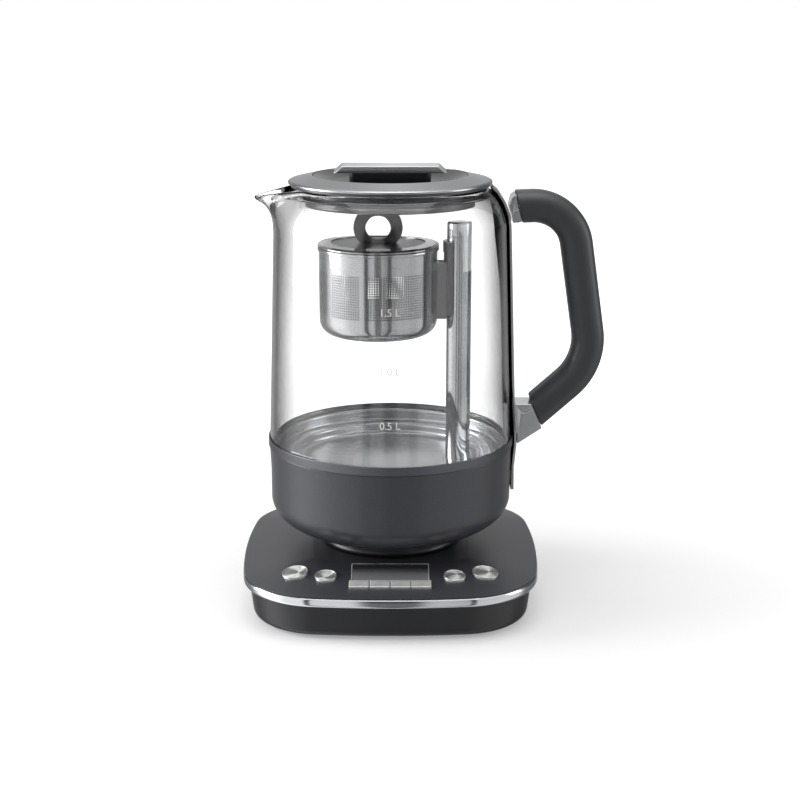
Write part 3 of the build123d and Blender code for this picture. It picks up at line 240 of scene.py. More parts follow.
basketAxis = (-7.3, 0.0)
basketCentre = (basketAxis[0] * mm, 0.0, 0.0)
# painted shade of the glass, by how far the wall turns from face on
glassEdgeShade = ((0.0, 1.0), (0.3, 0.93), (0.44, 0.8), (0.58, 0.55), (0.75, 0.3), (0.9, 0.06), (1.0, 0.03))
finishes = {
    "trayPlastic": mouldedPlastic("satinAbsTray", "#242528", 0.33, spread=0.03),
    # the deck's last colour is painted shade for the jug's seat
    "deckPlastic": metallicLacquer("slateLacquerDeck", "#404146", 0.36, 0.15, "#141416"),
    "footRubber": softRubber("mouldedRubberFoot", "#17181a"),
    "chrome": polishedPlate("chromePlatedTrim", "#dfe1e4", 0.07),
    "bracketChrome": polishedPlate("chromePlatedBracket", "#d3d5d8", 0.16),
    "lacquer": metallicLacquer("slateLacquerHousing", "#434449", 0.33, 0.25),
    "collarSteel": brushedSteel("satinSteelCollar", "#66676b", 0.34),
    "glass": clearGlass("borosilicateGlass", glassEdgeShade),
    "gripPlastic": mouldedPlastic("softTouchGrip", "#3a3c3f", 0.42, 0.4, 0.01),
    "lidPlastic": mouldedPlastic("satinAbsLid", "#161719", 0.3),
    "plugPlastic": mouldedPlastic("satinAbsPlug", "#4a4b4e", 0.3),
    "lidSteel": brushedSteel("turnedSteelLidRing", "#a6a7aa", 0.22),
    "barSteel": brushedSteel("brushedSteelBar", "#c4c5c7", 0.22, "x"),
    "strapSteel": brushedSteel("brushedSteelStrap", "#c4c5c7", 0.2, "z"),
    "panSteel": brushedSteel("turnedSteelPan", "#c2c3c5", 0.24, depth=0.25),
    "postSteel": brushedSteel("polishedSteelPost", "#b4b5b7", 0.08, "z", depth=0.2, stretch=0.0),
    "basketSteel": brushedSteel("polishedSteelBasket", "#bcbdbf", 0.09, "round", basketCentre, 0.2, stretch=0.0),
    "bracketSteel": brushedSteel("satinSteelBracket", "#8d8e90", 0.3, "z"),
    "basketRimSteel": brushedSteel("turnedSteelBasketLid", "#a9aaac", 0.12, "round", basketCentre),
    "keyMetal": spunKey("turnedAluminiumKey", "#d8d8d6"),
    "barKeyMetal": brushedSteel("brushedAluminiumBarKey", "#dcdcda", 0.42, "x", metal=0.55),
    "pullPlastic": mouldedPlastic("satinAbsPull", "#5b5c5f", 0.4),
    "seal": softRubber("mouldedSiliconeSeal", "#8a8b8d"),
    "socketPlastic": mouldedPlastic("glossNylonConnector", "#1d1e20", 0.22),
    "brass": polishedPlate("platedBrassContacts", "#d9b36a", 0.2),
    "board": mouldedPlastic("lacquredBoard", "#1e5a38", 0.3),
    "screwSteel": polishedPlate("zincPlatedScrews", "#b5b5b2", 0.25),
    "nylon": mouldedPlastic("naturalNylon", "#e2ddcf", 0.4),
    "framePlastic": mouldedPlastic("glassFilledNylonFrame", "#55565a", 0.45),
    "cutoutPlastic": mouldedPlastic("phenolicCutout", "#8a7a62", 0.5),
    "elementMetal": brushedSteel("dullElementSheath", "#7c7c7a", 0.45),
    "displayCover": tintedCover("smokedAcrylicCover", "#37383b", "#7e7f82", -70.5, -51.5),
    "displayBody": mouldedPlastic("whiteDisplayHousing", "#d6d6d2", 0.35),
    "markInk": mouldedPlastic("whiteScreenPrint", "#f4f4f2", 0.5, 0.3, 0.002, 0.02),
}
print("materials ready", len(finishes))

# the CAD nodes that stay, by the finish they take
keptNodes = {
    "footRubber": "base_foot_ring cord_gland",
    "screwSteel": "base_screws jug_screws lid_screws lift_motor post_nut lead_screw",
    "socketPlastic": "connector_socket connector_plug",
    "brass": "socket_contacts plug_contacts temperature_sensor",
    "board": "power_board control_board",
    "displayCover": "display_window",
    "displayBody": "display_module",
    "lidPlastic": "tact_switches jug_bottom_cover",
    "seal": "lid_seal",
    "elementMetal": "heating_element",
    "cutoutPlastic": "thermal_cutout",
    "framePlastic": "inner_frame",
    "nylon": "screw_bushes magnet_carrier screw_gear motor_pinion",
    "chrome": "basket_magnet carrier_magnets",
    "bracketSteel": "basket_bracket",
}
for finishName, nodeNames in keptNodes.items():
    for nodeName in nodeNames.split():
        data = nodes[nodeName].data
        data.materials.clear()
        data.materials.append(finishes[finishName])


# shapes

def unit(vector):
    # a vector of length one
    return vector / np.linalg.norm(vector)


def circle(count):
    # evenly spaced angles round a full turn
    return np.linspace(0, 2 * np.pi, count, endpoint=False)


def arcAngles(middle, start, end, count):
    # angles the shorter way round a middle, from a start to an end
    first = math.atan2(*(start - middle)[::-1])
    sweep = (math.atan2(*(end - middle)[::-1]) - first + math.pi) % (2 * math.pi) - math.pi
    return first + sweep * np.linspace(0, 1, count)


def filletedLine(points, radii, steps=6, closed=True):
    # a polyline whose corners are arcs of the given radii, with a point just outside each arc to hold its flats
    longest, holdArc, holdSide = 0.48, 0.2, 0.02  # shares of a side or of an arc's cut
    result = []
    for i, radius in enumerate(radii):
        here = np.array(points[i], float)
        before, after = np.array(points[i - 1], float), np.array(points[(i + 1) % len(points)], float)
        if radius == 0 or (not closed and i in (0, len(points) - 1)):
            result.append(here)
            continue
        backLength, onLength = np.linalg.norm(before - here), np.linalg.norm(after - here)
        back, on = (before - here) / backLength, (after - here) / onLength
        half = math.acos(np.clip(back @ on, -1, 1)) / 2
        if half > math.pi / 2 - 0.01:
            result.append(here)
            continue
        cut = min(radius / math.tan(half), backLength * longest, onLength * longest)
        radius = cut * math.tan(half)
        middle = here + unit(back + on) * radius / math.sin(half)
        start, end = here + back * cut, here + on * cut
        angles = arcAngles(middle, start, end, steps + 1)
        result.append(start + back * min(cut * holdArc, backLength * holdSide))
        result += list(middle + radius * np.stack([np.cos(angles), np.sin(angles)], 1))
        result.append(end + on * min(cut * holdArc, onLength * holdSide))
    return np.array(result)


def showData(name, data):
    # a new object in the scene that shows a mesh, lamp, camera or text
    piece = bpy.data.objects.new(name, data)
    bpy.context.scene.collection.objects.link(piece)
    return piece


def shadeSmooth(mesh, sharp=None):
    # smooth curves, and crisp edges over an angle in degrees where one is given
    mesh.polygons.foreach_set("use_smooth", np.ones(len(mesh.polygons), bool))
    if sharp:
        mesh.set_sharp_from_angle(angle=math.radians(sharp))


def ringQuads(rows, columns, wrapU=False):
    # faces of a grid of closed rings
    u = np.arange(rows if wrapU else rows - 1)
    a, b = np.meshgrid(u, np.arange(columns), indexing="ij")
    a2, b2 = (a + 1) % rows, (b + 1) % columns
    corners = [a * columns + b, a * columns + b2, a2 * columns + b2, a2 * columns + b]
    return np.stack(corners, -1).reshape(-1, 4)


def gridMesh(name, grid, wrapU=False, capStart=False, capEnd=False):
    # a surface from an array of closed rings; caps close the first and last rings round a centre point
    rows, columns = grid.shape[:2]
    verts = grid.reshape(-1, 3)
    faces = ringQuads(rows, columns, wrapU).tolist()
    extra = []
    for wanted, row, flip in ((capStart, 0, True), (capEnd, rows - 1, False)):
        if wanted:
            centre = len(verts) + len(extra)
            extra.append(grid[row].mean(0))
            ring = [(row * columns + i, row * columns + (i + 1) % columns) for i in range(columns)]
            faces += [(j, i, centre) if flip else (i, j, centre) for i, j in ring]
    if extra:
        verts = np.concatenate([verts, np.array(extra)])
    mesh = bpy.data.meshes.new(name)
    mesh.from_pydata(verts.tolist(), [], faces)
    shadeSmooth(mesh)
    mesh.update()
    return showData(name, mesh)


def cappedMesh(name, grid):
    # a row of rings closed at both ends
    return gridMesh(name, grid, capStart=True, capEnd=True)


def finish(piece, finishName, body, slotName, *replaced):
    # closes a piece: outward faces, its material, the body it rides on and the nodes it stands for
    work = bmesh.new()
    work.from_mesh(piece.data)
    bmesh.ops.recalc_face_normals(work, faces=work.faces)
    work.to_mesh(piece.data)
    work.free()
    piece.data.materials.append(finishes[finishName])
    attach(piece, body)
    if replaced:
        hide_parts(*replaced)


def revolved(profile, turn, centre=(0.0, 0.0)):
    # (radius, height) pairs, one outline or one for each angle, turned round an upright axis
    profile = np.asarray(profile, float)
    if profile.ndim == 2:
        profile = np.repeat(profile[:, None], len(turn), 1)
    radius, height = profile[..., 0], profile[..., 1]
    return np.stack([centre[0] + radius * np.cos(turn), centre[1] + radius * np.sin(turn), height], -1)


def lathe(name, profile, segments=192, centre=(0.0, 0.0)):
    # a closed outline of (radius, height) in mm turned round an upright axis; points on the axis become poles
    profile = np.array(profile, float)
    onAxis = profile[:, 0] < 1e-6
    hasPoles = onAxis.any()
    if hasPoles:
        start = np.flatnonzero(onAxis)
        wraps = start[0] == 0 and start[-1] == len(profile) - 1
        profile = np.roll(profile, -(start[-1] if wraps else start[0]), axis=0)
        profile = profile[profile[:, 0] > 1e-6]
    grid = revolved(profile, circle(segments), centre) * mm
    return gridMesh(name, grid, not hasPoles, hasPoles, hasPoles)


def turnedPiece(name, values, finishName, body, slotName, nodeName):
    # a turned piece from its values: points above a level, corner radii, arc steps, segments round, and its axis
    points = [(radius, height + values.get("level", 0.0)) for radius, height in values["points"]]
    outline = filletedLine(points, values["radii"], values["steps"])
    piece = lathe(name, outline, values.get("segments", 192), values.get("axis", (0.0, 0.0)))
    finish(piece, finishName, body, slotName, nodeName)


def stackRings(rows):
    # rings of (x, y) points put at their levels
    return np.array([np.column_stack([ring, np.full(len(ring), level)]) for ring, level in rows])


outlineArcs = {"half": 90.4, "side": 420.0, "corner": 48.0, "count": 64}


def cushionOutline(half):
    # the base's outline at this half width: four shallow arcs joined by corner arcs, evenly numbered points
    shift = half - outlineArcs["half"]
    bow, corner = outlineArcs["side"] + shift, outlineArcs["corner"] + shift
    back = outlineArcs["side"] - outlineArcs["half"]
    g = (math.sqrt(2 * (outlineArcs["side"] - outlineArcs["corner"]) ** 2 - back ** 2) - back) / 2
    limit = math.atan2(g + back, g)
    count = outlineArcs["count"] // 2
    side = np.linspace(np.pi - limit, limit, count, endpoint=False)
    turn = np.linspace(limit, np.pi / 2 - limit, count, endpoint=False)
    parts = [np.concatenate([
        np.stack([bow * np.cos(side), bow * np.sin(side) - back], 1),
        np.stack([g + corner * np.cos(turn), g + corner * np.sin(turn)], 1)])]
    for _ in range(3):
        parts.append(parts[-1] @ np.array([[0, -1], [1, 0]]))
    return np.concatenate(parts)


def smoothCopy(name, nodeName, sharp, bevelMm=0.0):
    # a welded copy of a CAD node with smooth curves, crisp edges and, where asked, broken edges
    piece = showData(name, nodes[nodeName].data.copy())
    work = bmesh.new()
    work.from_mesh(piece.data)
    bmesh.ops.remove_doubles(work, verts=work.verts, dist=1e-6)
    bmesh.ops.dissolve_limit(work, angle_limit=math.radians(0.5), verts=work.verts, edges=work.edges)
    work.to_mesh(piece.data)
    work.free()
    piece.data.materials.clear()
    shadeSmooth(piece.data, sharp)
    if bevelMm:
        bevel = piece.modifiers.new("brokenEdges", "BEVEL")
        bevel.width, bevel.segments, bevel.limit_method = bevelMm * mm, 2, "ANGLE"
        bevel.angle_limit = math.radians(sharp)
        bevel.harden_normals = True
    return piece


def roundedBox(width, depth, corner, steps=6):
    # closed outline of a rounded rectangle centred on zero
    w, d = width / 2, depth / 2
    return filletedLine([(-w, -d), (w, -d), (w, d), (-w, d)], [corner] * 4, steps)


def insetLine(outline, distance):
    # moves every point of a closed, counter-clockwise outline inwards by a distance, along the mean normal
    ahead = np.roll(outline, -1, 0) - outline
    ahead /= np.linalg.norm(ahead, axis=1)[:, None] + 1e-12
    mean = ahead + np.roll(ahead, 1, 0)
    mean /= np.linalg.norm(mean, axis=1)[:, None] + 1e-12
    return outline + np.stack([-mean[:, 1], mean[:, 0]], 1) * distance


def softSlab(name, outline, low, high, bevel, upright=True):
    # an outline in mm given thickness between two levels, all its edges rounded by the bevel
    outline = np.array(outline, float)
    following = np.roll(outline, -1, 0)
    if np.sum(outline[:, 0] * following[:, 1] - following[:, 0] * outline[:, 1]) < 0:
        outline = outline[::-1]
    bend = np.linspace(0, np.pi / 2, 5)
    cap = bevel * 1.6
    rows = [(cap, low)] + [(bevel * (1 - math.sin(t)), low + bevel * (1 - math.cos(t))) for t in bend]
    rows += [(bevel * (1 - math.cos(t)), high - bevel * (1 - math.sin(t))) for t in bend] + [(cap, high)]
    grid = stackRings([(insetLine(outline, inset), level) for inset, level in rows])
    return cappedMesh(name, (grid[..., [0, 2, 1]] if upright else grid) * mm)


# power base

trim = {"points": [(85.4, 21.4), (90.7, 21.4), (90.7, 27.6), (85.4, 27.6)],
        "radii": [0.2, 2.2, 3.4, 0.2], "steps": 14}
trimLine = filletedLine(trim["points"], trim["radii"], trim["steps"])
trimRings = stackRings([(cushionOutline(half), level) for half, level in trimLine]) * mm
finish(gridMesh("trimRing", trimRings, wrapU=True), "chrome", "power_base", "chrome_trim", "base_trim_ring")
finish(smoothCopy("trayShell", "base_tray", 30), "trayPlastic", "power_base", "tray_plastic", "base_tray")
finish(smoothCopy("deckShell", "base_deck", 25), "deckPlastic", "power_base", "deck_plastic", "base_deck")
print("power base built")


# keys

def onPlane(points, origin, normal):
    # local (right, up the slope, outwards) points in mm put on a plane that leans but doesn't turn sideways
    normal = np.array(normal, float)
    right = unit(np.cross([0.0, 1.0, 0.0], normal))
    up = np.cross(normal, right)
    return np.array(origin) + points[..., :1] * right + points[..., 1:2] * up + points[..., 2:] * normal


def readFaces(mesh, name, width):
    # one value of every face of a mesh as an array
    values = np.zeros(len(mesh.polygons) * width)
    mesh.polygons.foreach_get(name, values)
    return values.reshape(-1, width)


def nodeFrame(nodeName):
    # the middle of a key's cap and the direction it faces, read from its own mesh
    mesh = nodes[nodeName].data
    normals, centres = readFaces(mesh, "normal", 3), readFaces(mesh, "center", 3)
    areas = readFaces(mesh, "area", 1)[:, 0]
    rounded = np.round(normals, 3)
    upward = rounded[:, 2] > 0.7
    choices, index = np.unique(rounded[upward], axis=0, return_inverse=True)
    normal = unit(choices[np.bincount(index.ravel(), areas[upward]).argmax()])
    top = upward & (normals @ normal > 0.999)
    height = centres[top] @ normal
    top[top] = height > height.max() - 1e-5
    return (centres[top] * areas[top, None]).sum(0) / areas[top].sum() / mm, normal


def addPoints(piece, name, values):
    # a vector on every vertex, for a pattern or a grain that follows the piece
    layer = piece.data.attributes.new(name, "FLOAT_VECTOR", "POINT")
    layer.data.foreach_set("vector", np.asarray(values, np.float32).ravel())


def readPoints(mesh):
    # the places of a mesh's vertices
    places = np.zeros(len(mesh.vertices) * 3)
    mesh.vertices.foreach_get("co", places)
    return places.reshape(-1, 3)


roundKeys = {"radii": {"left_large": 7.8, "left_small": 6.5, "right_small": 6.5, "right_large": 7.8},
             "segments": 96, "skirt": 1.3, "flangeTop": -4.5, "flangeLow": -6.0,
             "dish": 0.35, "dishSlope": 0.4, "dishDrop": 0.15, "rimWidth": 0.7, "corners": [0, 0.2, 0.2, 0.1, 0.35, 0.15, 0.2, 0]}
for place, radius in roundKeys["radii"].items():
    nodeName = "key_round_" + place
    middle, normal = nodeFrame(nodeName)
    skirt, rim, dish = radius + roundKeys["skirt"], radius - roundKeys["rimWidth"], -roundKeys["dish"]
    low, top = roundKeys["flangeLow"], roundKeys["flangeTop"]
    keyLine = filletedLine([
        (0, low), (skirt, low), (skirt, top), (radius, top), (radius, 0), (rim, 0),
        (rim - roundKeys["dishSlope"], dish), (0, dish - roundKeys["dishDrop"])], roundKeys["corners"], 5)
    local = revolved(keyLine[keyLine[:, 0] > 1e-6], circle(roundKeys["segments"]))
    piece = cappedMesh("roundKey_" + place, onPlane(local, middle, normal) * mm)
    away = readPoints(piece.data) - middle * mm
    outwards = away - (away @ normal)[:, None] * normal
    addPoints(piece, "turning", outwards / (np.linalg.norm(outwards, axis=1)[:, None] + 1e-9))
    across = np.cross([0, 1, 0], normal)
    addPoints(piece, "keyLocal", np.stack([away @ across, away[:, 1], away @ normal], 1))
    finish(piece, "keyMetal", nodeName, "key_metal", nodeName)

barKeys = {"width": 11.6, "depth": 7.8, "flange": 1.3, "flangeLow": -6.0, "flangeTop": -4.5, "sideTop": -1.0,
           "corner": 0.5, "bevel": 0.45, "crownInset": 0.8, "crown": 0.03}
capLine = roundedBox(barKeys["width"], barKeys["depth"], barKeys["corner"], 4)
flangeLine = roundedBox(barKeys["width"], barKeys["depth"] + 2 * barKeys["flange"], barKeys["corner"], 4)
keyRows = [(flangeLine, barKeys["flangeLow"]), (flangeLine, barKeys["flangeTop"]),
           (capLine, barKeys["flangeTop"]), (capLine, barKeys["sideTop"])]
for t in np.linspace(0, np.pi / 2, 5):
    bevel = barKeys["bevel"]
    keyRows.append((insetLine(capLine, bevel * (1 - math.cos(t))), -bevel * (1 - math.sin(t))))
keyRows.append((insetLine(capLine, barKeys["crownInset"]), barKeys["crown"]))
for number in range(1, 5):
    nodeName = f"key_bar_{number}"
    piece = cappedMesh(f"barKey_{number}", onPlane(stackRings(keyRows), *nodeFrame(nodeName)) * mm)
    finish(piece, "barKeyMetal", nodeName, "bar_key_metal", nodeName)

screen = {"width": 45.9, "depth": 20.1, "line": 0.55, "proud": 0.12, "under": -0.3, "slope": 9.5, "overlap": 0.35,
          "outerCorner": 0.8, "innerCorner": 0.5}
lean = math.radians(screen["slope"])
farEdge = np.array(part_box("display_window")[1]) / mm
innerWidth, innerDepth = screen["width"] - 2 * screen["line"], screen["depth"] - 2 * screen["line"]
drop = [0.0, -screen["depth"] / 2 + screen["overlap"]]
outerFrame = roundedBox(screen["width"], screen["depth"], screen["outerCorner"], 4) + drop
innerFrame = roundedBox(innerWidth, innerDepth, screen["innerCorner"], 4) + drop
frameRings = stackRings([(innerFrame, screen["under"]), (innerFrame, screen["proud"]),
                         (outerFrame, screen["proud"]), (outerFrame, screen["under"])])
framePlace = onPlane(frameRings, (0.0, farEdge[1], farEdge[2]), (0.0, -math.sin(lean), math.cos(lean)))
finish(gridMesh("displayFrame", framePlace * mm, wrapU=True), "barKeyMetal", "power_base", "bar_key_metal")
print("keys built")


# jug

housing = {"radius": 73.6, "cornerWidth": 30.0, "cornerHeight": 20.0, "cornerTop": 64.03, "wall": 2.4, "steps": 24,
           "foot": [(42.0, 44.03), (43.0, 44.03), (43.4, 44.03)],
           "side": [(73.6, 66.0), (73.62, 82.03), (74.2, 95.0), (74.28, 96.1), (74.2, 96.3), (74.05, 96.42),
                    (73.9, 96.5), (73.9, 98.03), (71.2, 98.03)],
           "floor": [(42.0, 46.43)]}


def housingCorner(inset):
    # the quarter ellipse between the housing's floor and its side, drawn in by a wall
    middle = housing["radius"] - housing["cornerWidth"]
    wide, high = housing["cornerWidth"] - inset, housing["cornerHeight"] - inset
    bend = np.linspace(-np.pi / 2, 0, housing["steps"])
    return [(middle + wide * math.cos(t), housing["cornerTop"] + high * math.sin(t)) for t in bend]


housingLine = housing["foot"] + housingCorner(0.0) + housing["side"]
housingLine += housingCorner(housing["wall"])[::-1] + housing["floor"]
finish(lathe("jugHousing", housingLine, 256), "lacquer", "jug", "housing_paint", "jug_housing")

collar = {"points": [(74.1, 96.53), (74.9, 96.53), (74.9, 101.83), (74.1, 101.83)],
          "radii": [0.1, 0.3, 0.3, 0.1], "steps": 5, "segments": 256}
turnedPiece("collarBand", collar, "collarSteel", "jug", "chrome_trim", "collar_ring")

pan = {"points": [(73.6, 98.83), (69.0, 98.83), (69.0, 91.33), (61.0, 91.33), (60.0, 84.53), (0, 84.53),
                  (0, 83.73), (60.8, 83.73), (61.8, 90.53), (69.8, 90.53), (69.8, 98.03), (73.6, 98.03)],
       "radii": [0.2, 1.6, 1.6, 1.8, 3.0, 0, 0, 2.4, 1.2, 2.2, 0.8, 0.2], "steps": 8, "segments": 256}
turnedPiece("heatingPan", pan, "panSteel", "jug", "pan_steel", "heating_pan")

# the glass's curves are (radius, drop below the rim)
glass = {
    "bottom": 99.83, "rim": 253.63, "footRadius": 74.0, "shoulderRadius": 69.6, "shoulderDrop": 22.6,
    "wallOuter": (74.0, 69.75), "wallInner": (71.0, 66.75), "wallDrop": 27.0, "footLift": 0.6,
    "foot": (71.1, 73.9), "wallPoints": 24, "curvePoints": 40, "segments": 360,
    "plainOuter": [(69.75, 27), (69.6, 22.6), (68.5, 17.1), (65.6, 10.1), (62.0, 4.6), (57.8, 1.0), (56.4, 0.3)],
    "plainTop": [(56.0, 0.05), (55.4, 0), (54.9, 0.3), (54.6, 0.9)],
    "plainInner": [(54.55, 1.8), (54.6, 3.4), (59.0, 6.6), (62.6, 11.6), (65.4, 17.6), (66.6, 22.9), (66.75, 27)],
    "spoutOuter": [(69.75, 27), (70.2, 21), (71.6, 16), (74.6, 11.6), (78.6, 8.9), (80.4, 7.7), (80.8, 7.0)],
    "spoutTop": [(80.9, 6.5), (80.6, 6.0), (80.1, 6.1), (79.6, 6.5)],
    "spoutInner": [(78.8, 7.0), (76.0, 8.6), (73.0, 11.4), (70.0, 15.4), (68.0, 19.6), (67.0, 23.5), (66.75, 27)]}
lip = {"halfWidth": 61.0, "slant": 0.715, "rim": 56.0, "reach": 80.9, "within": 1.4, "farthest": 1.5, "endAt": 0.9,
       "rimEase": 0.06, "tipEase": 0.09, "tipLift": 0.002}


def throughPoints(points, count):
    # smooth curve through points: a cubic with its slopes from the neighbours, along the chord length
    points = np.array(points, float)
    chord = np.concatenate([[0], np.cumsum(np.linalg.norm(np.diff(points, axis=0), axis=1))])
    slope = np.gradient(points, chord, axis=0)
    place = np.linspace(0, chord[-1], count)
    i = np.clip(np.searchsorted(chord, place, side="right") - 1, 0, len(points) - 2)
    gap = (chord[i + 1] - chord[i])[:, None]
    t = ((place - chord[i])[:, None]) / gap
    a, b = points[i], points[i + 1]
    return ((2 * t ** 3 - 3 * t ** 2 + 1) * a + (t ** 3 - 2 * t ** 2 + t) * gap * slope[i]
            + (3 * t ** 2 - 2 * t ** 3) * b + (t ** 3 - t ** 2) * gap * slope[i + 1])


def glassOutline(kind):
    # the wall's closed outline where the rim is plain, or at the middle of the spout
    outer, top, inner = (
        np.array(glass[kind + part]) * (1, -1) + (0, glass["rim"]) for part in ("Outer", "Top", "Inner"))
    count = glass["wallPoints"]
    heights = np.linspace(glass["bottom"] + glass["footLift"], glass["rim"] - glass["wallDrop"], count)
    rise = np.stack([np.linspace(*glass["wallOuter"], count), heights], 1)
    fall = np.stack([np.linspace(*glass["wallInner"], count), heights], 1)[::-1]
    foot = [(radius, glass["bottom"]) for radius in glass["foot"]]
    return np.concatenate([rise[:-1], throughPoints(outer, glass["curvePoints"]), top,
                           throughPoints(inner, glass["curvePoints"]), fall[1:], foot])


def lipShare(turn):
    # the lip's share at each angle: straight sides that meet in a rounded point, eased where they leave the rim
    off = np.abs(turn - np.pi)
    near = np.minimum(off, lip["farthest"])
    edge = lip["halfWidth"] / (np.sin(near) + lip["slant"] * np.cos(near))
    share = np.where(off < lip["within"], (edge - lip["rim"]) / (lip["reach"] - lip["rim"]), -1.0)
    ease = lip["rimEase"]
    share = 0.5 * (share + np.sqrt(share ** 2 + ease ** 2)) - 0.5 * (np.sqrt(1 + ease ** 2) - 1)
    share = 1 - 0.5 * ((1 - share) + np.sqrt((1 - share) ** 2 + lip["tipEase"] ** 2)) + lip["tipLift"]
    return np.where(off > lip["endAt"], 0.0, np.clip(share, 0, 1))


glassTurn = circle(glass["segments"])
share = lipShare(glassTurn)[None, :, None]
glassProfile = glassOutline("plain")[:, None] * (1 - share) + glassOutline("spout")[:, None] * share
glassJug = gridMesh("glassJug", revolved(glassProfile, glassTurn) * mm, wrapU=True)
finish(glassJug, "glass", "jug", "clear_glass", "glass_jug")

seal = {"points": [(71.0, 98.83), (73.9, 98.83), (73.9, 99.83), (71.0, 99.83)], "radii": [0.2] * 4, "steps": 3}
turnedPiece("panSeal", seal, "seal", "jug", "seal_silicone", "pan_seal")
print("jug built")


# handle

strap = {"inner": [(73.95, 67.03), (73.95, 82.03), (75.25, 95.43), (75.25, 103.33), (74.3, 107.83), (70.1, 229.03),
                   (69.3, 236.83), (66.3, 244.03), (62.6, 249.73), (59.0, 252.93)],
         "straight": 6, "thickness": 2.0,
         "outerEnd": [(71.3, 237.33), (68.1, 245.03), (64.0, 251.33), (60.2, 254.63)],
         "radii": [0.3, 6, 3, 2, 2, 40, 20, 20, 10, 0.3], "half": 6.5, "bevel": 0.35}
strapOuter = [(x + strap["thickness"], z) for x, z in strap["inner"][:strap["straight"]]] + strap["outerEnd"]
strapLine = filletedLine(strap["inner"] + strapOuter[::-1], strap["radii"] + strap["radii"][::-1])
strapPiece = softSlab("handleStrap", strapLine, -strap["half"], strap["half"], strap["bevel"])
finish(strapPiece, "strapSteel", "jug", "strap_steel", "handle_strap")

brackets = {"handleTopBracket": "handle_top_bracket", "handleLowBracket": "handle_bottom_bracket"}
for pieceName, nodeName in brackets.items():
    finish(smoothCopy(pieceName, nodeName, 30, 0.3), "bracketChrome", "jug", "bracket_chrome", nodeName)

grip = {"path": [(68.0, 241.13), (107.6, 242.93), (122.1, 146.73), (72.0, 101.93)], "bends": (26.4, 36.4),
        "width": 23.0, "depth": 19.2, "corner": 8.4, "edge": 1.0, "capInset": 1.8, "edgeRings": 6, "arcRings": 28,
        "straightRings": (20, 30, 14),
        "topCut": ((74.2, 249.53), (78.0, 233.43)), "lowCut": ((83.9, 126.73), (92.5, 107.03))}
section = roundedBox(grip["width"], grip["depth"], grip["corner"], 10)
corners = [np.array(p) for p in grip["path"]]
steps = [unit(b - a) for a, b in zip(corners, corners[1:])]


def ringAt(point, step, inset=0.0):
    # the grip's section at a point of its path, with local across and outwards directions
    ring = insetLine(section, inset) if inset else section
    normal = np.array([-step[1], step[0]])
    return np.stack([point[0] + normal[0] * ring[:, 1], ring[:, 0], point[1] + normal[1] * ring[:, 1]], 1)


def cutRing(point, step, line, inset, back, inward):
    # the section slid along the path on to the plane through a line, drawn back into the grip by a little
    ring = ringAt(point, step, inset)
    a, b = np.array(line[0]), np.array(line[1])
    across = unit(b - a)
    normal = np.array([across[1], -across[0]])
    normal *= np.sign(normal @ step) * inward
    gap = ((a - ring[:, [0, 2]]) @ normal + back) / (step @ normal)
    ring[:, [0, 2]] += gap[:, None] * step
    return ring


def endRings(point, step, line, inward):
    # rings from the cap of a cut end, round its edge and into the grip
    edge = grip["edge"]
    rings = [cutRing(point, step, line, edge * grip["capInset"], 0, inward)]
    for t in np.linspace(0, np.pi / 2, grip["edgeRings"]):
        rings.append(cutRing(point, step, line, edge * (1 - math.sin(t)), edge * (1 - math.cos(t)), inward))
    return rings


def bendRings(here, before, after, radius):
    # rings round one bend of the path
    half = math.acos(-before @ after) / 2
    middle = here + unit(after - before) * radius / math.sin(half)
    cut = radius / math.tan(half)
    angles = arcAngles(middle, here - before * cut, here + after * cut, grip["arcRings"])
    sense = np.sign(angles[-1] - angles[0])
    return [ringAt(middle + radius * np.array([math.cos(t), math.sin(t)]),
                   sense * np.array([-math.sin(t), math.cos(t)])) for t in angles]


runs = [endRings(corners[0], steps[0], grip["topCut"], 1)]
runs += [bendRings(*values) for values in zip(corners[1:], steps, steps[1:], grip["bends"])]
runs += [endRings(corners[3], steps[2], grip["lowCut"], -1)[::-1]]
gripRings = list(runs[0])
for before, after, count in zip(runs, runs[1:], grip["straightRings"]):
    t = np.linspace(0, 1, count + 2)[1:-1, None, None]
    gripRings += list(before[-1] * (1 - t) + after[0] * t) + after
finish(cappedMesh("handleGrip", np.array(gripRings) * mm), "gripPlastic", "jug", "grip_plastic", "handle_grip")
print("handle built")


# lift post

post = {"points": [(6.9, 75.73), (7.5, 75.73), (7.5, 84.63), (9.0, 84.63), (9.0, 86.93), (7.5, 86.93),
                   (7.5, 223.6), (7.2, 223.83), (6.9, 223.83)],
        "radii": [0, 0.1, 0, 0.2, 0.6, 0.3, 0.1, 0, 0], "steps": 4, "segments": 96, "axis": (41.3, 0)}
turnedPiece("liftPost", post, "postSteel", "jug", "post_steel", "lift_post")
postCap = {"points": [(0, 221.83), (6.88, 221.83), (6.88, 223.83), (7.2, 223.83), (7.5, 224.1), (7.5, 233.83),
                      (0, 233.83)],
           "radii": [0, 0.1, 0, 0, 0.1, 1.2, 0], "steps": 6, "segments": 96, "axis": post["axis"]}
turnedPiece("postCap", postCap, "postSteel", "jug", "post_steel", "post_cap")


# lid

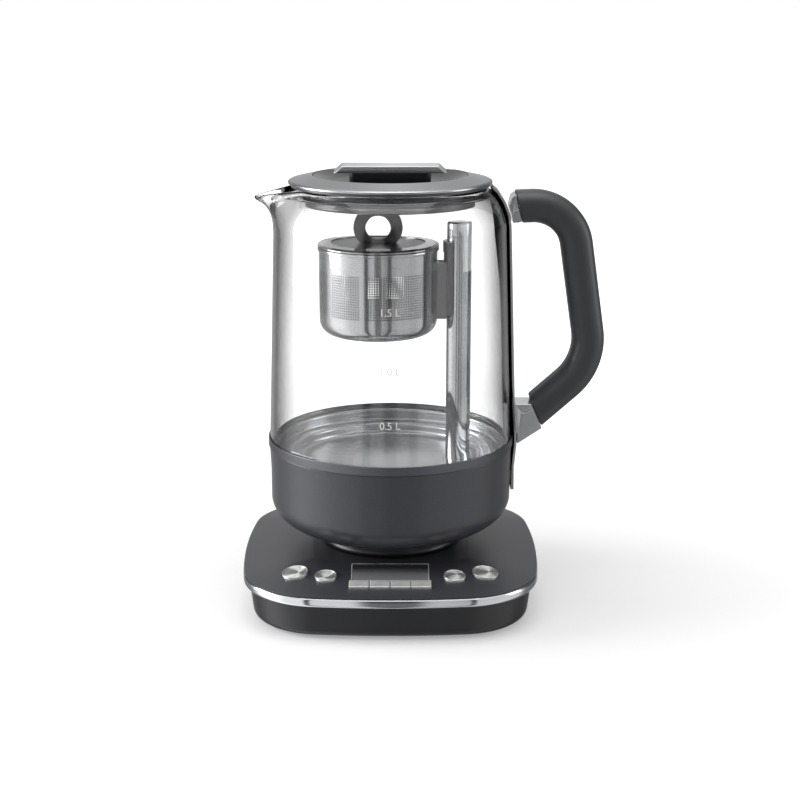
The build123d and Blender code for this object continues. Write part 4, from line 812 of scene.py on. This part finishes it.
lidLevel = 253.93  # the underside of the lid's flange
lidPlug = {"points": [(0, -2.5), (47.5, -2.5), (47.5, -11), (50, -11), (50, 0), (59, 0), (59, 1.8), (47.5, 1.8),
                      (47.5, -1.0), (0, -1.0)],
           "radii": [0, 1.0, 0.6, 1.0, 1.2, 0.5, 0.3, 0.2, 0.2, 0], "steps": 5, "level": lidLevel}
turnedPiece("lidPlug", lidPlug, "plugPlastic", "lid", "lid_plastic", "lid_plug")
lidRing = {"points": [(60.5, 1.85), (60.5, 2.95), (59.2, 3.75), (46.2, 6.65), (46.2, 1.85)],
           "radii": [0.3, 0.5, 2.0, 0.35, 0.1], "steps": 6, "segments": 256, "level": lidLevel}
turnedPiece("lidRing", lidRing, "lidSteel", "lid", "lid_steel", "lid_ring")
lidDisc = {"points": [(0, -0.95), (46.0, -0.95), (46.0, 6.25), (44.8, 6.25), (33, 2.8), (29, 2.0), (0, 2.0)],
           "radii": [0, 0.1, 0.3, 0.8, 3.0, 3.0, 0], "steps": 6, "level": lidLevel}
turnedPiece("lidDisc", lidDisc, "lidPlastic", "lid", "lid_plastic", "lid_disc")

block = {"width": 48.0, "depth": 16.0, "corner": 3.0, "low": 254.93, "high": 262.13, "bevel": 0.3}
blockLine = roundedBox(block["width"], block["depth"], block["corner"])
blockPiece = softSlab("lidPost", blockLine, block["low"], block["high"], block["bevel"], False)
finish(blockPiece, "lidPlastic", "lid", "lid_plastic")

bar = {"bottom": 67.0, "top": 58.0, "depth": 22.0, "low": 262.13, "high": 266.12, "corner": 1.6, "edge": 0.45,
       "cap": 2.0}
rise = bar["high"] - bar["low"]
bend = np.linspace(0, np.pi / 2, 5)
rounding = [(bar["edge"] * (1 - math.sin(t)), bar["edge"] * (1 - math.cos(t))) for t in bend]
barLevels = [(bar["cap"], 0.0)] + rounding
barLevels += [(inset, rise - up) for inset, up in rounding[::-1]] + [(bar["cap"], rise)]
barRows = []
for inset, up in barLevels:
    width = bar["bottom"] + (bar["top"] - bar["bottom"]) * up / rise
    barRows.append((insetLine(roundedBox(width, bar["depth"], bar["corner"], 5), inset), bar["low"] + up))
finish(cappedMesh("lidHandle", stackRings(barRows) * mm), "barSteel", "lid", "lid_handle_steel", "lid_handle")
print("lid built")


# basket

basket = {"radius": 35.6, "wall": 0.8, "bottom": 165.0, "corner": 9.0, "hub": 0.4, "floorRing": 13.0,
          "arcPoints": 10, "columns": 148, "rows": 20, "meshLow": 177.4, "meshHigh": 206.6, "hole": 0.56,
          "plainStrips": (-13.0, 57.0, 117.0, 177.0, 237.0, 307.0), "stripHalf": 3.6, "neck": 212.0,
          "beadLow": 216.0, "beadTop": 218.0, "beadOut": 1.0, "beadRadii": [0, 0.5, 0.7, 0.3, 0],
          "sharp": 40, "weld": 2e-6}
columns, rowsCount = basket["columns"], basket["rows"]
basketTurn = circle(columns)
wallOut, wallIn = basket["radius"], basket["radius"] - basket["wall"]
verts, faces = [], []


def bowlLine(inset):
    # from the hub across the floor, round the corner and up to the mesh, drawn in by a wall
    middle, height = basket["radius"] - basket["corner"], basket["bottom"] + basket["corner"]
    radius, side = basket["corner"] - inset, basket["radius"] - inset
    bend = np.linspace(-np.pi / 2, 0, basket["arcPoints"])
    line = [(reach, basket["bottom"] + inset) for reach in (basket["hub"], basket["floorRing"], middle - 1)]
    line += [(middle + radius * math.cos(t), height + radius * math.sin(t)) for t in bend]
    return line + [(side, height + 1), (side, basket["meshLow"])]


def basketRings(points):
    # rings of a profile round the basket's axis
    return revolved(points, basketTurn, basketAxis)


def addVerts(points):
    # appends points to the basket's mesh and returns the number of the first
    first = sum(len(v) for v in verts)
    verts.append(points.reshape(-1, 3))
    return first


def addGrid(points, flip=False):
    # appends rings of a profile and the faces between them
    quads = ringQuads(len(points), columns) + addVerts(basketRings(points))
    faces.append(quads[:, ::-1] if flip else quads)


bead = filletedLine([
    (wallOut, basket["beadLow"]), (wallOut + basket["beadOut"], basket["beadLow"]),
    (wallOut + basket["beadOut"], basket["beadTop"]), (wallIn, basket["beadTop"]), (wallIn, basket["beadLow"])],
    basket["beadRadii"], 4, False)
addGrid(bowlLine(0.0))
addGrid(bowlLine(basket["wall"]), True)
addGrid([(wallOut, basket["meshHigh"]), (wallOut, basket["neck"])] + [tuple(p) for p in bead]
        + [(wallIn, basket["neck"]), (wallIn, basket["meshHigh"])])
# the floor's two centres; a triangle is a quad that names its last corner twice
b = np.arange(columns)
for level in (basket["bottom"], basket["bottom"] + basket["wall"]):
    hubRing = basketRings([(basket["hub"], level)])[0]
    first = addVerts(np.concatenate([hubRing, [[*basketAxis, level]]]))
    centre = np.full(columns, first + columns)
    faces.append(np.stack([first + b, first + (b + 1) % columns, centre, centre], -1))
# the lattice of the wall, outer and inner, and in each open cell four corners of a square hole
heights = np.linspace(basket["meshLow"], basket["meshHigh"], rowsCount + 1)
cellTurn = basketTurn + np.pi / columns
fromFront = np.degrees(cellTurn) + 90
toStrip = np.min([np.abs((fromFront - s + 180) % 360 - 180) for s in basket["plainStrips"]], axis=0)
openCell = np.repeat((toStrip > basket["stripHalf"])[None], rowsCount, 0)
openCell[[0, -1]] = False
half = basket["hole"] / 2
pitch = heights[1] - heights[0]
starts = []
for radius in (wallOut, wallIn):
    starts.append(addVerts(basketRings([(radius, z) for z in heights])))
    holes = []
    for du, dv in ((-half, -half), (half, -half), (half, half), (-half, half)):
        rows = [(radius, z + dv * pitch) for z in (heights[:-1] + heights[1:]) / 2]
        holes.append(revolved(rows, cellTurn + du * 2 * np.pi / columns, basketAxis))
    addVerts(np.stack(holes, 2))
lattice = (rowsCount + 1) * columns
cell = np.arange(rowsCount * columns).reshape(rowsCount, columns) * 4
cellCorners = ringQuads(rowsCount + 1, columns).reshape(rowsCount, columns, 4)
outer, inner = (start + lattice + cell for start in starts)
for flip, start in enumerate(starts):
    edge = cellCorners + start
    quads = [edge[~openCell]]
    for k in range(4):
        n = (k + 1) % 4
        hole = start + lattice + cell
        quads.append(np.stack([edge[..., k], edge[..., n], hole + n, hole + k], -1)[openCell])
    quads = np.concatenate(quads)
    faces.append(quads[:, ::-1] if flip else quads)
for k in range(4):
    n = (k + 1) % 4
    faces.append(np.stack([outer + k, outer + n, inner + n, inner + k], -1)[openCell])
allFaces = np.concatenate(faces)
triangles = allFaces[:, 2] == allFaces[:, 3]
mesh = bpy.data.meshes.new("teaBasket")
allPoints = (np.concatenate(verts) * mm).tolist()
mesh.from_pydata(allPoints, [], allFaces[~triangles].tolist() + allFaces[triangles][:, :3].tolist())
work = bmesh.new()
work.from_mesh(mesh)
bmesh.ops.remove_doubles(work, verts=work.verts, dist=basket["weld"])
bmesh.ops.delete(work, geom=[v for v in work.verts if not v.link_faces], context="VERTS")
work.to_mesh(mesh)
work.free()
shadeSmooth(mesh, basket["sharp"])
finish(showData("teaBasket", mesh), "basketSteel", "basket", "basket_steel", "tea_basket")

basketLidRim = {"points": [(28.25, 0), (33.8, 0), (33.8, -4.0), (34.5, -4.0), (34.5, 0), (36.5, 0), (36.5, 0.8),
                           (35.0, 1.8), (28.25, 2.2)],
                "radii": [0.1, 0, 0.2, 0.2, 0, 0.3, 0.4, 1.2, 0.25], "steps": 5, "segments": 160, "level": 218.3,
                "axis": basketAxis}
turnedPiece("basketLidRim", basketLidRim, "basketRimSteel", "basket_lid", "basket_lid_steel", "basket_lid_rim")
basketLidCentre = {"points": [(0, 217.3), (31, 217.3), (31, 218.25), (28.2, 218.25), (28.2, 219.7), (0, 219.75)],
                   "radii": [0, 0.2, 0.2, 0, 0.5, 0], "steps": 5, "segments": 144, "axis": basketAxis}
turnedPiece("basketLidCentre", basketLidCentre, "lidPlastic", "basket_lid", "basket_lid_plastic",
            "basket_lid_centre")

pull = {"radius": 14.7, "hole": 7.5, "half": 1.6, "centreZ": 229.8, "cut": 219.76, "edge": 0.6, "segments": 180}
pullLine = filletedLine([
    (pull["hole"], -pull["half"]), (pull["radius"], -pull["half"]), (pull["radius"], pull["half"]),
    (pull["hole"], pull["half"])], [pull["edge"]] * 4, 5)
pullTurn = circle(pull["segments"]) + 0.5 * np.pi / pull["segments"]  # starts a quarter of a segment on
pullGrid = revolved(pullLine, pullTurn, (basketAxis[0], pull["centreZ"])).transpose(1, 0, 2)[..., [0, 2, 1]]
pullGrid[..., 2] = np.maximum(pullGrid[..., 2], pull["cut"])
pullPiece = gridMesh("basketPull", pullGrid * mm, wrapU=True)
finish(pullPiece, "pullPlastic", "basket_lid", "pull_plastic", "basket_lid_pull")
print("basket built")


# marks

marks = {"texts": (("05", "0.5 L", 121.1), ("10", "1.0 L", 152.6), ("15", "1.5 L", 186.2)), "size": 6.0,
         "above": 1.6, "lift": 0.05, "thickness": 0.03}
wallHeight = glass["rim"] - glass["shoulderDrop"] - glass["bottom"]
wallSlope = (glass["footRadius"] - glass["shoulderRadius"]) / wallHeight
for code, words, level in marks["texts"]:
    text = bpy.data.curves.new("markText", "FONT")
    text.body, text.size, text.align_x, text.align_y = words, marks["size"], "CENTER", "BOTTOM"
    holder = showData("markHolder", text)
    bpy.context.view_layer.update()
    flat = bpy.data.meshes.new_from_object(holder.evaluated_get(bpy.context.evaluated_depsgraph_get()))
    bpy.data.objects.remove(holder)
    across, height = readPoints(flat)[:, :2].T
    height = level + marks["above"] + height
    radius = glass["footRadius"] - (height - glass["bottom"]) * wallSlope + marks["lift"]
    angle = -np.pi / 2 + across / radius
    places = np.stack([radius * np.cos(angle), radius * np.sin(angle), height], 1) * mm
    flat.vertices.foreach_set("co", places.ravel())
    flat.update()
    piece = showData("mark_" + code, flat)
    solid = piece.modifiers.new("ink", "SOLIDIFY")
    solid.thickness, solid.offset = marks["thickness"] * mm, 1.0
    piece.data.materials.clear()
    piece.data.materials.append(finishes["markInk"])
    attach(piece, "jug")
print("marks printed")


# stage, light and camera

def rayKinds(tree):
    # 1 for rays that a shiny surface has turned, and 1 for rays seen straight or only through glass
    rays = addNode(tree, "LightPath").outputs
    notDiffuse = combine(tree, "SUBTRACT", 1.0, rays["Diffuse Depth"], True)
    mirrored = combine(tree, "MULTIPLY", rays["Glossy Depth"], notDiffuse, True)
    direct = combine(tree, "ADD", rays["Is Camera Ray"], rays["Is Transmission Ray"], True)
    unturned = combine(tree, "SUBTRACT", notDiffuse, mirrored, True)
    return mirrored, combine(tree, "MULTIPLY", direct, unturned)


stage = {"corners": [(-6, -4, 0), (6, -4, 0), (6, 8, 0), (-6, 8, 0)], "colour": "#dcdcdc", "near": 0.12,
         "far": 0.75, "nearGlow": 0.32, "farGlow": 1.0, "mirroredGlow": 0.3, "mirroredGone": 0.85}
floorMesh = bpy.data.meshes.new("studioFloor")
floorMesh.from_pydata(stage["corners"], [], [(0, 1, 2, 3)])
floor = showData("studioFloor", floorMesh)
floorPaper = bpy.data.materials.new("matteBackdropPaper")
floorPaper.use_nodes = True
tree = floorPaper.node_tree
tree.nodes.clear()
paper = addNode(tree, "BsdfDiffuse", {"Color": hexToLinear(stage["colour"])})
place = addNode(tree, "TexCoord").outputs["Object"]
spread = addNode(tree, "VectorMath", {"operation": "LENGTH"}, {0: place}).outputs["Value"]
brighten = remap(tree, spread, stage["nearGlow"], stage["farGlow"], stage["near"], stage["far"])
brighten.interpolation_type = "SMOOTHSTEP"
mirrored, straight = rayKinds(tree)
seen = combine(tree, "MAXIMUM", straight, combine(tree, "MULTIPLY", mirrored, stage["mirroredGlow"]))
glow = addNode(tree, "Emission", {"Color": (1, 1, 1, 1)}, {"Strength": combine(tree, "MULTIPLY", seen, brighten)})
total = addNode(tree, "AddShader", links={0: paper, 1: glow})
gone = combine(tree, "MULTIPLY", mirrored, stage["mirroredGone"])
ground = addNode(tree, "MixShader", links={0: gone, 1: total, 2: addNode(tree, "BsdfTransparent")})
addNode(tree, "OutputMaterial", links={"Surface": ground})
floorMesh.materials.append(floorPaper)

# what metal mirrors, going round from the front by the left, the back and the right: panels with dark gaps between
studio = {"walls": (
    (0.0, 0.01), (0.014, 0.01), (0.021, 0.45), (0.047, 0.45), (0.055, 0.01), (0.068, 0.01), (0.078, 0.55),
    (0.15, 0.6), (0.2, 0.95), (0.27, 1.0), (0.31, 0.4), (0.34, 0.08), (0.4, 0.06), (0.455, 0.3), (0.49, 0.35),
    (0.5, 0.6), (0.515, 0.35), (0.55, 0.2), (0.6, 0.05), (0.69, 0.06), (0.73, 0.4), (0.8, 0.42), (0.922, 0.35),
    (0.932, 0.01), (0.945, 0.01), (0.952, 0.25), (0.979, 0.32), (0.986, 0.01), (1.0, 0.01)),
    "wallTop": 0.45, "ceilingFrom": 0.8, "ceiling": (0.55, 0.55, 0.55, 1), "mirrored": 1.7, "straight": 1.0,
    "soft": 0.38}
world = bpy.data.worlds.new("studio")
bpy.context.scene.world = world
world.use_nodes = True
tree = world.node_tree
tree.nodes.clear()
split = addNode(tree, "SeparateXYZ", links={0: addNode(tree, "TexCoord").outputs["Generated"]})
heading = combine(tree, "ARCTAN2", split.outputs[0], split.outputs[1])
place = remap(tree, heading, 0.0, 1.0, -math.pi, math.pi)
walls = addNode(tree, "ValToRGB", {"stops": studio["walls"]}, {"Fac": place})
rise = remap(tree, split.outputs[2], 0.0, 1.0, studio["wallTop"], studio["ceilingFrom"])
room = addNode(tree, "Mix", {"data_type": "RGBA", "B": studio["ceiling"]}, {"Factor": rise, "A": walls})
reflected = addNode(tree, "Background", {"Strength": studio["mirrored"]}, {"Color": room.outputs["Result"]})
white = addNode(tree, "Background", {"Color": (1, 1, 1, 1), "Strength": studio["straight"]})
soft = addNode(tree, "Background", {"Color": (1, 1, 1, 1), "Strength": studio["soft"]})
mirrored, straight = rayKinds(tree)
turnedRays = addNode(tree, "MixShader", links={0: mirrored, 1: soft, 2: reflected})
allRays = addNode(tree, "MixShader", links={0: straight, 1: turnedRays, 2: white})
addNode(tree, "OutputWorld", links={"Surface": allRays})

lamps = {"aim": (0.0, 0.0, 0.13),
         "keyLamp": ((-1.2, 0.0, 0.4), 0.7, 0.8, 14.0),
         "fillLamp": ((1.2, -0.1, 0.4), 0.5, 0.7, 3.0),
         "topLamp": ((0.0, -0.1, 1.3), 1.1, 0.9, 8.0)}
for name in ("keyLamp", "fillLamp", "topLamp"):
    spot, width, height, power = lamps[name]
    lamp = bpy.data.lights.new(name, "AREA")
    lamp.shape, lamp.size, lamp.size_y, lamp.energy = "RECTANGLE", width, height, power
    holder = showData(name, lamp)
    holder.location = spot
    holder.rotation_euler = (Vector(lamps["aim"]) - Vector(spot)).to_track_quat("-Z", "Y").to_euler()

view = {"lens": 71.82, "place": (0.005765, -0.946988, 0.368335), "down": 14.556}
camera = bpy.data.cameras.new("mainCamera")
camera.lens, camera.sensor_width, camera.sensor_fit = view["lens"], 36.0, "HORIZONTAL"
camera.clip_start, camera.clip_end = 0.01, 50.0
cameraHolder = showData("mainCamera", camera)
cameraHolder.location = view["place"]
cameraHolder.rotation_euler = (math.radians(90 - view["down"]), 0, 0)
bpy.context.scene.camera = cameraHolder
bpy.context.scene.view_settings.view_transform = "Standard"
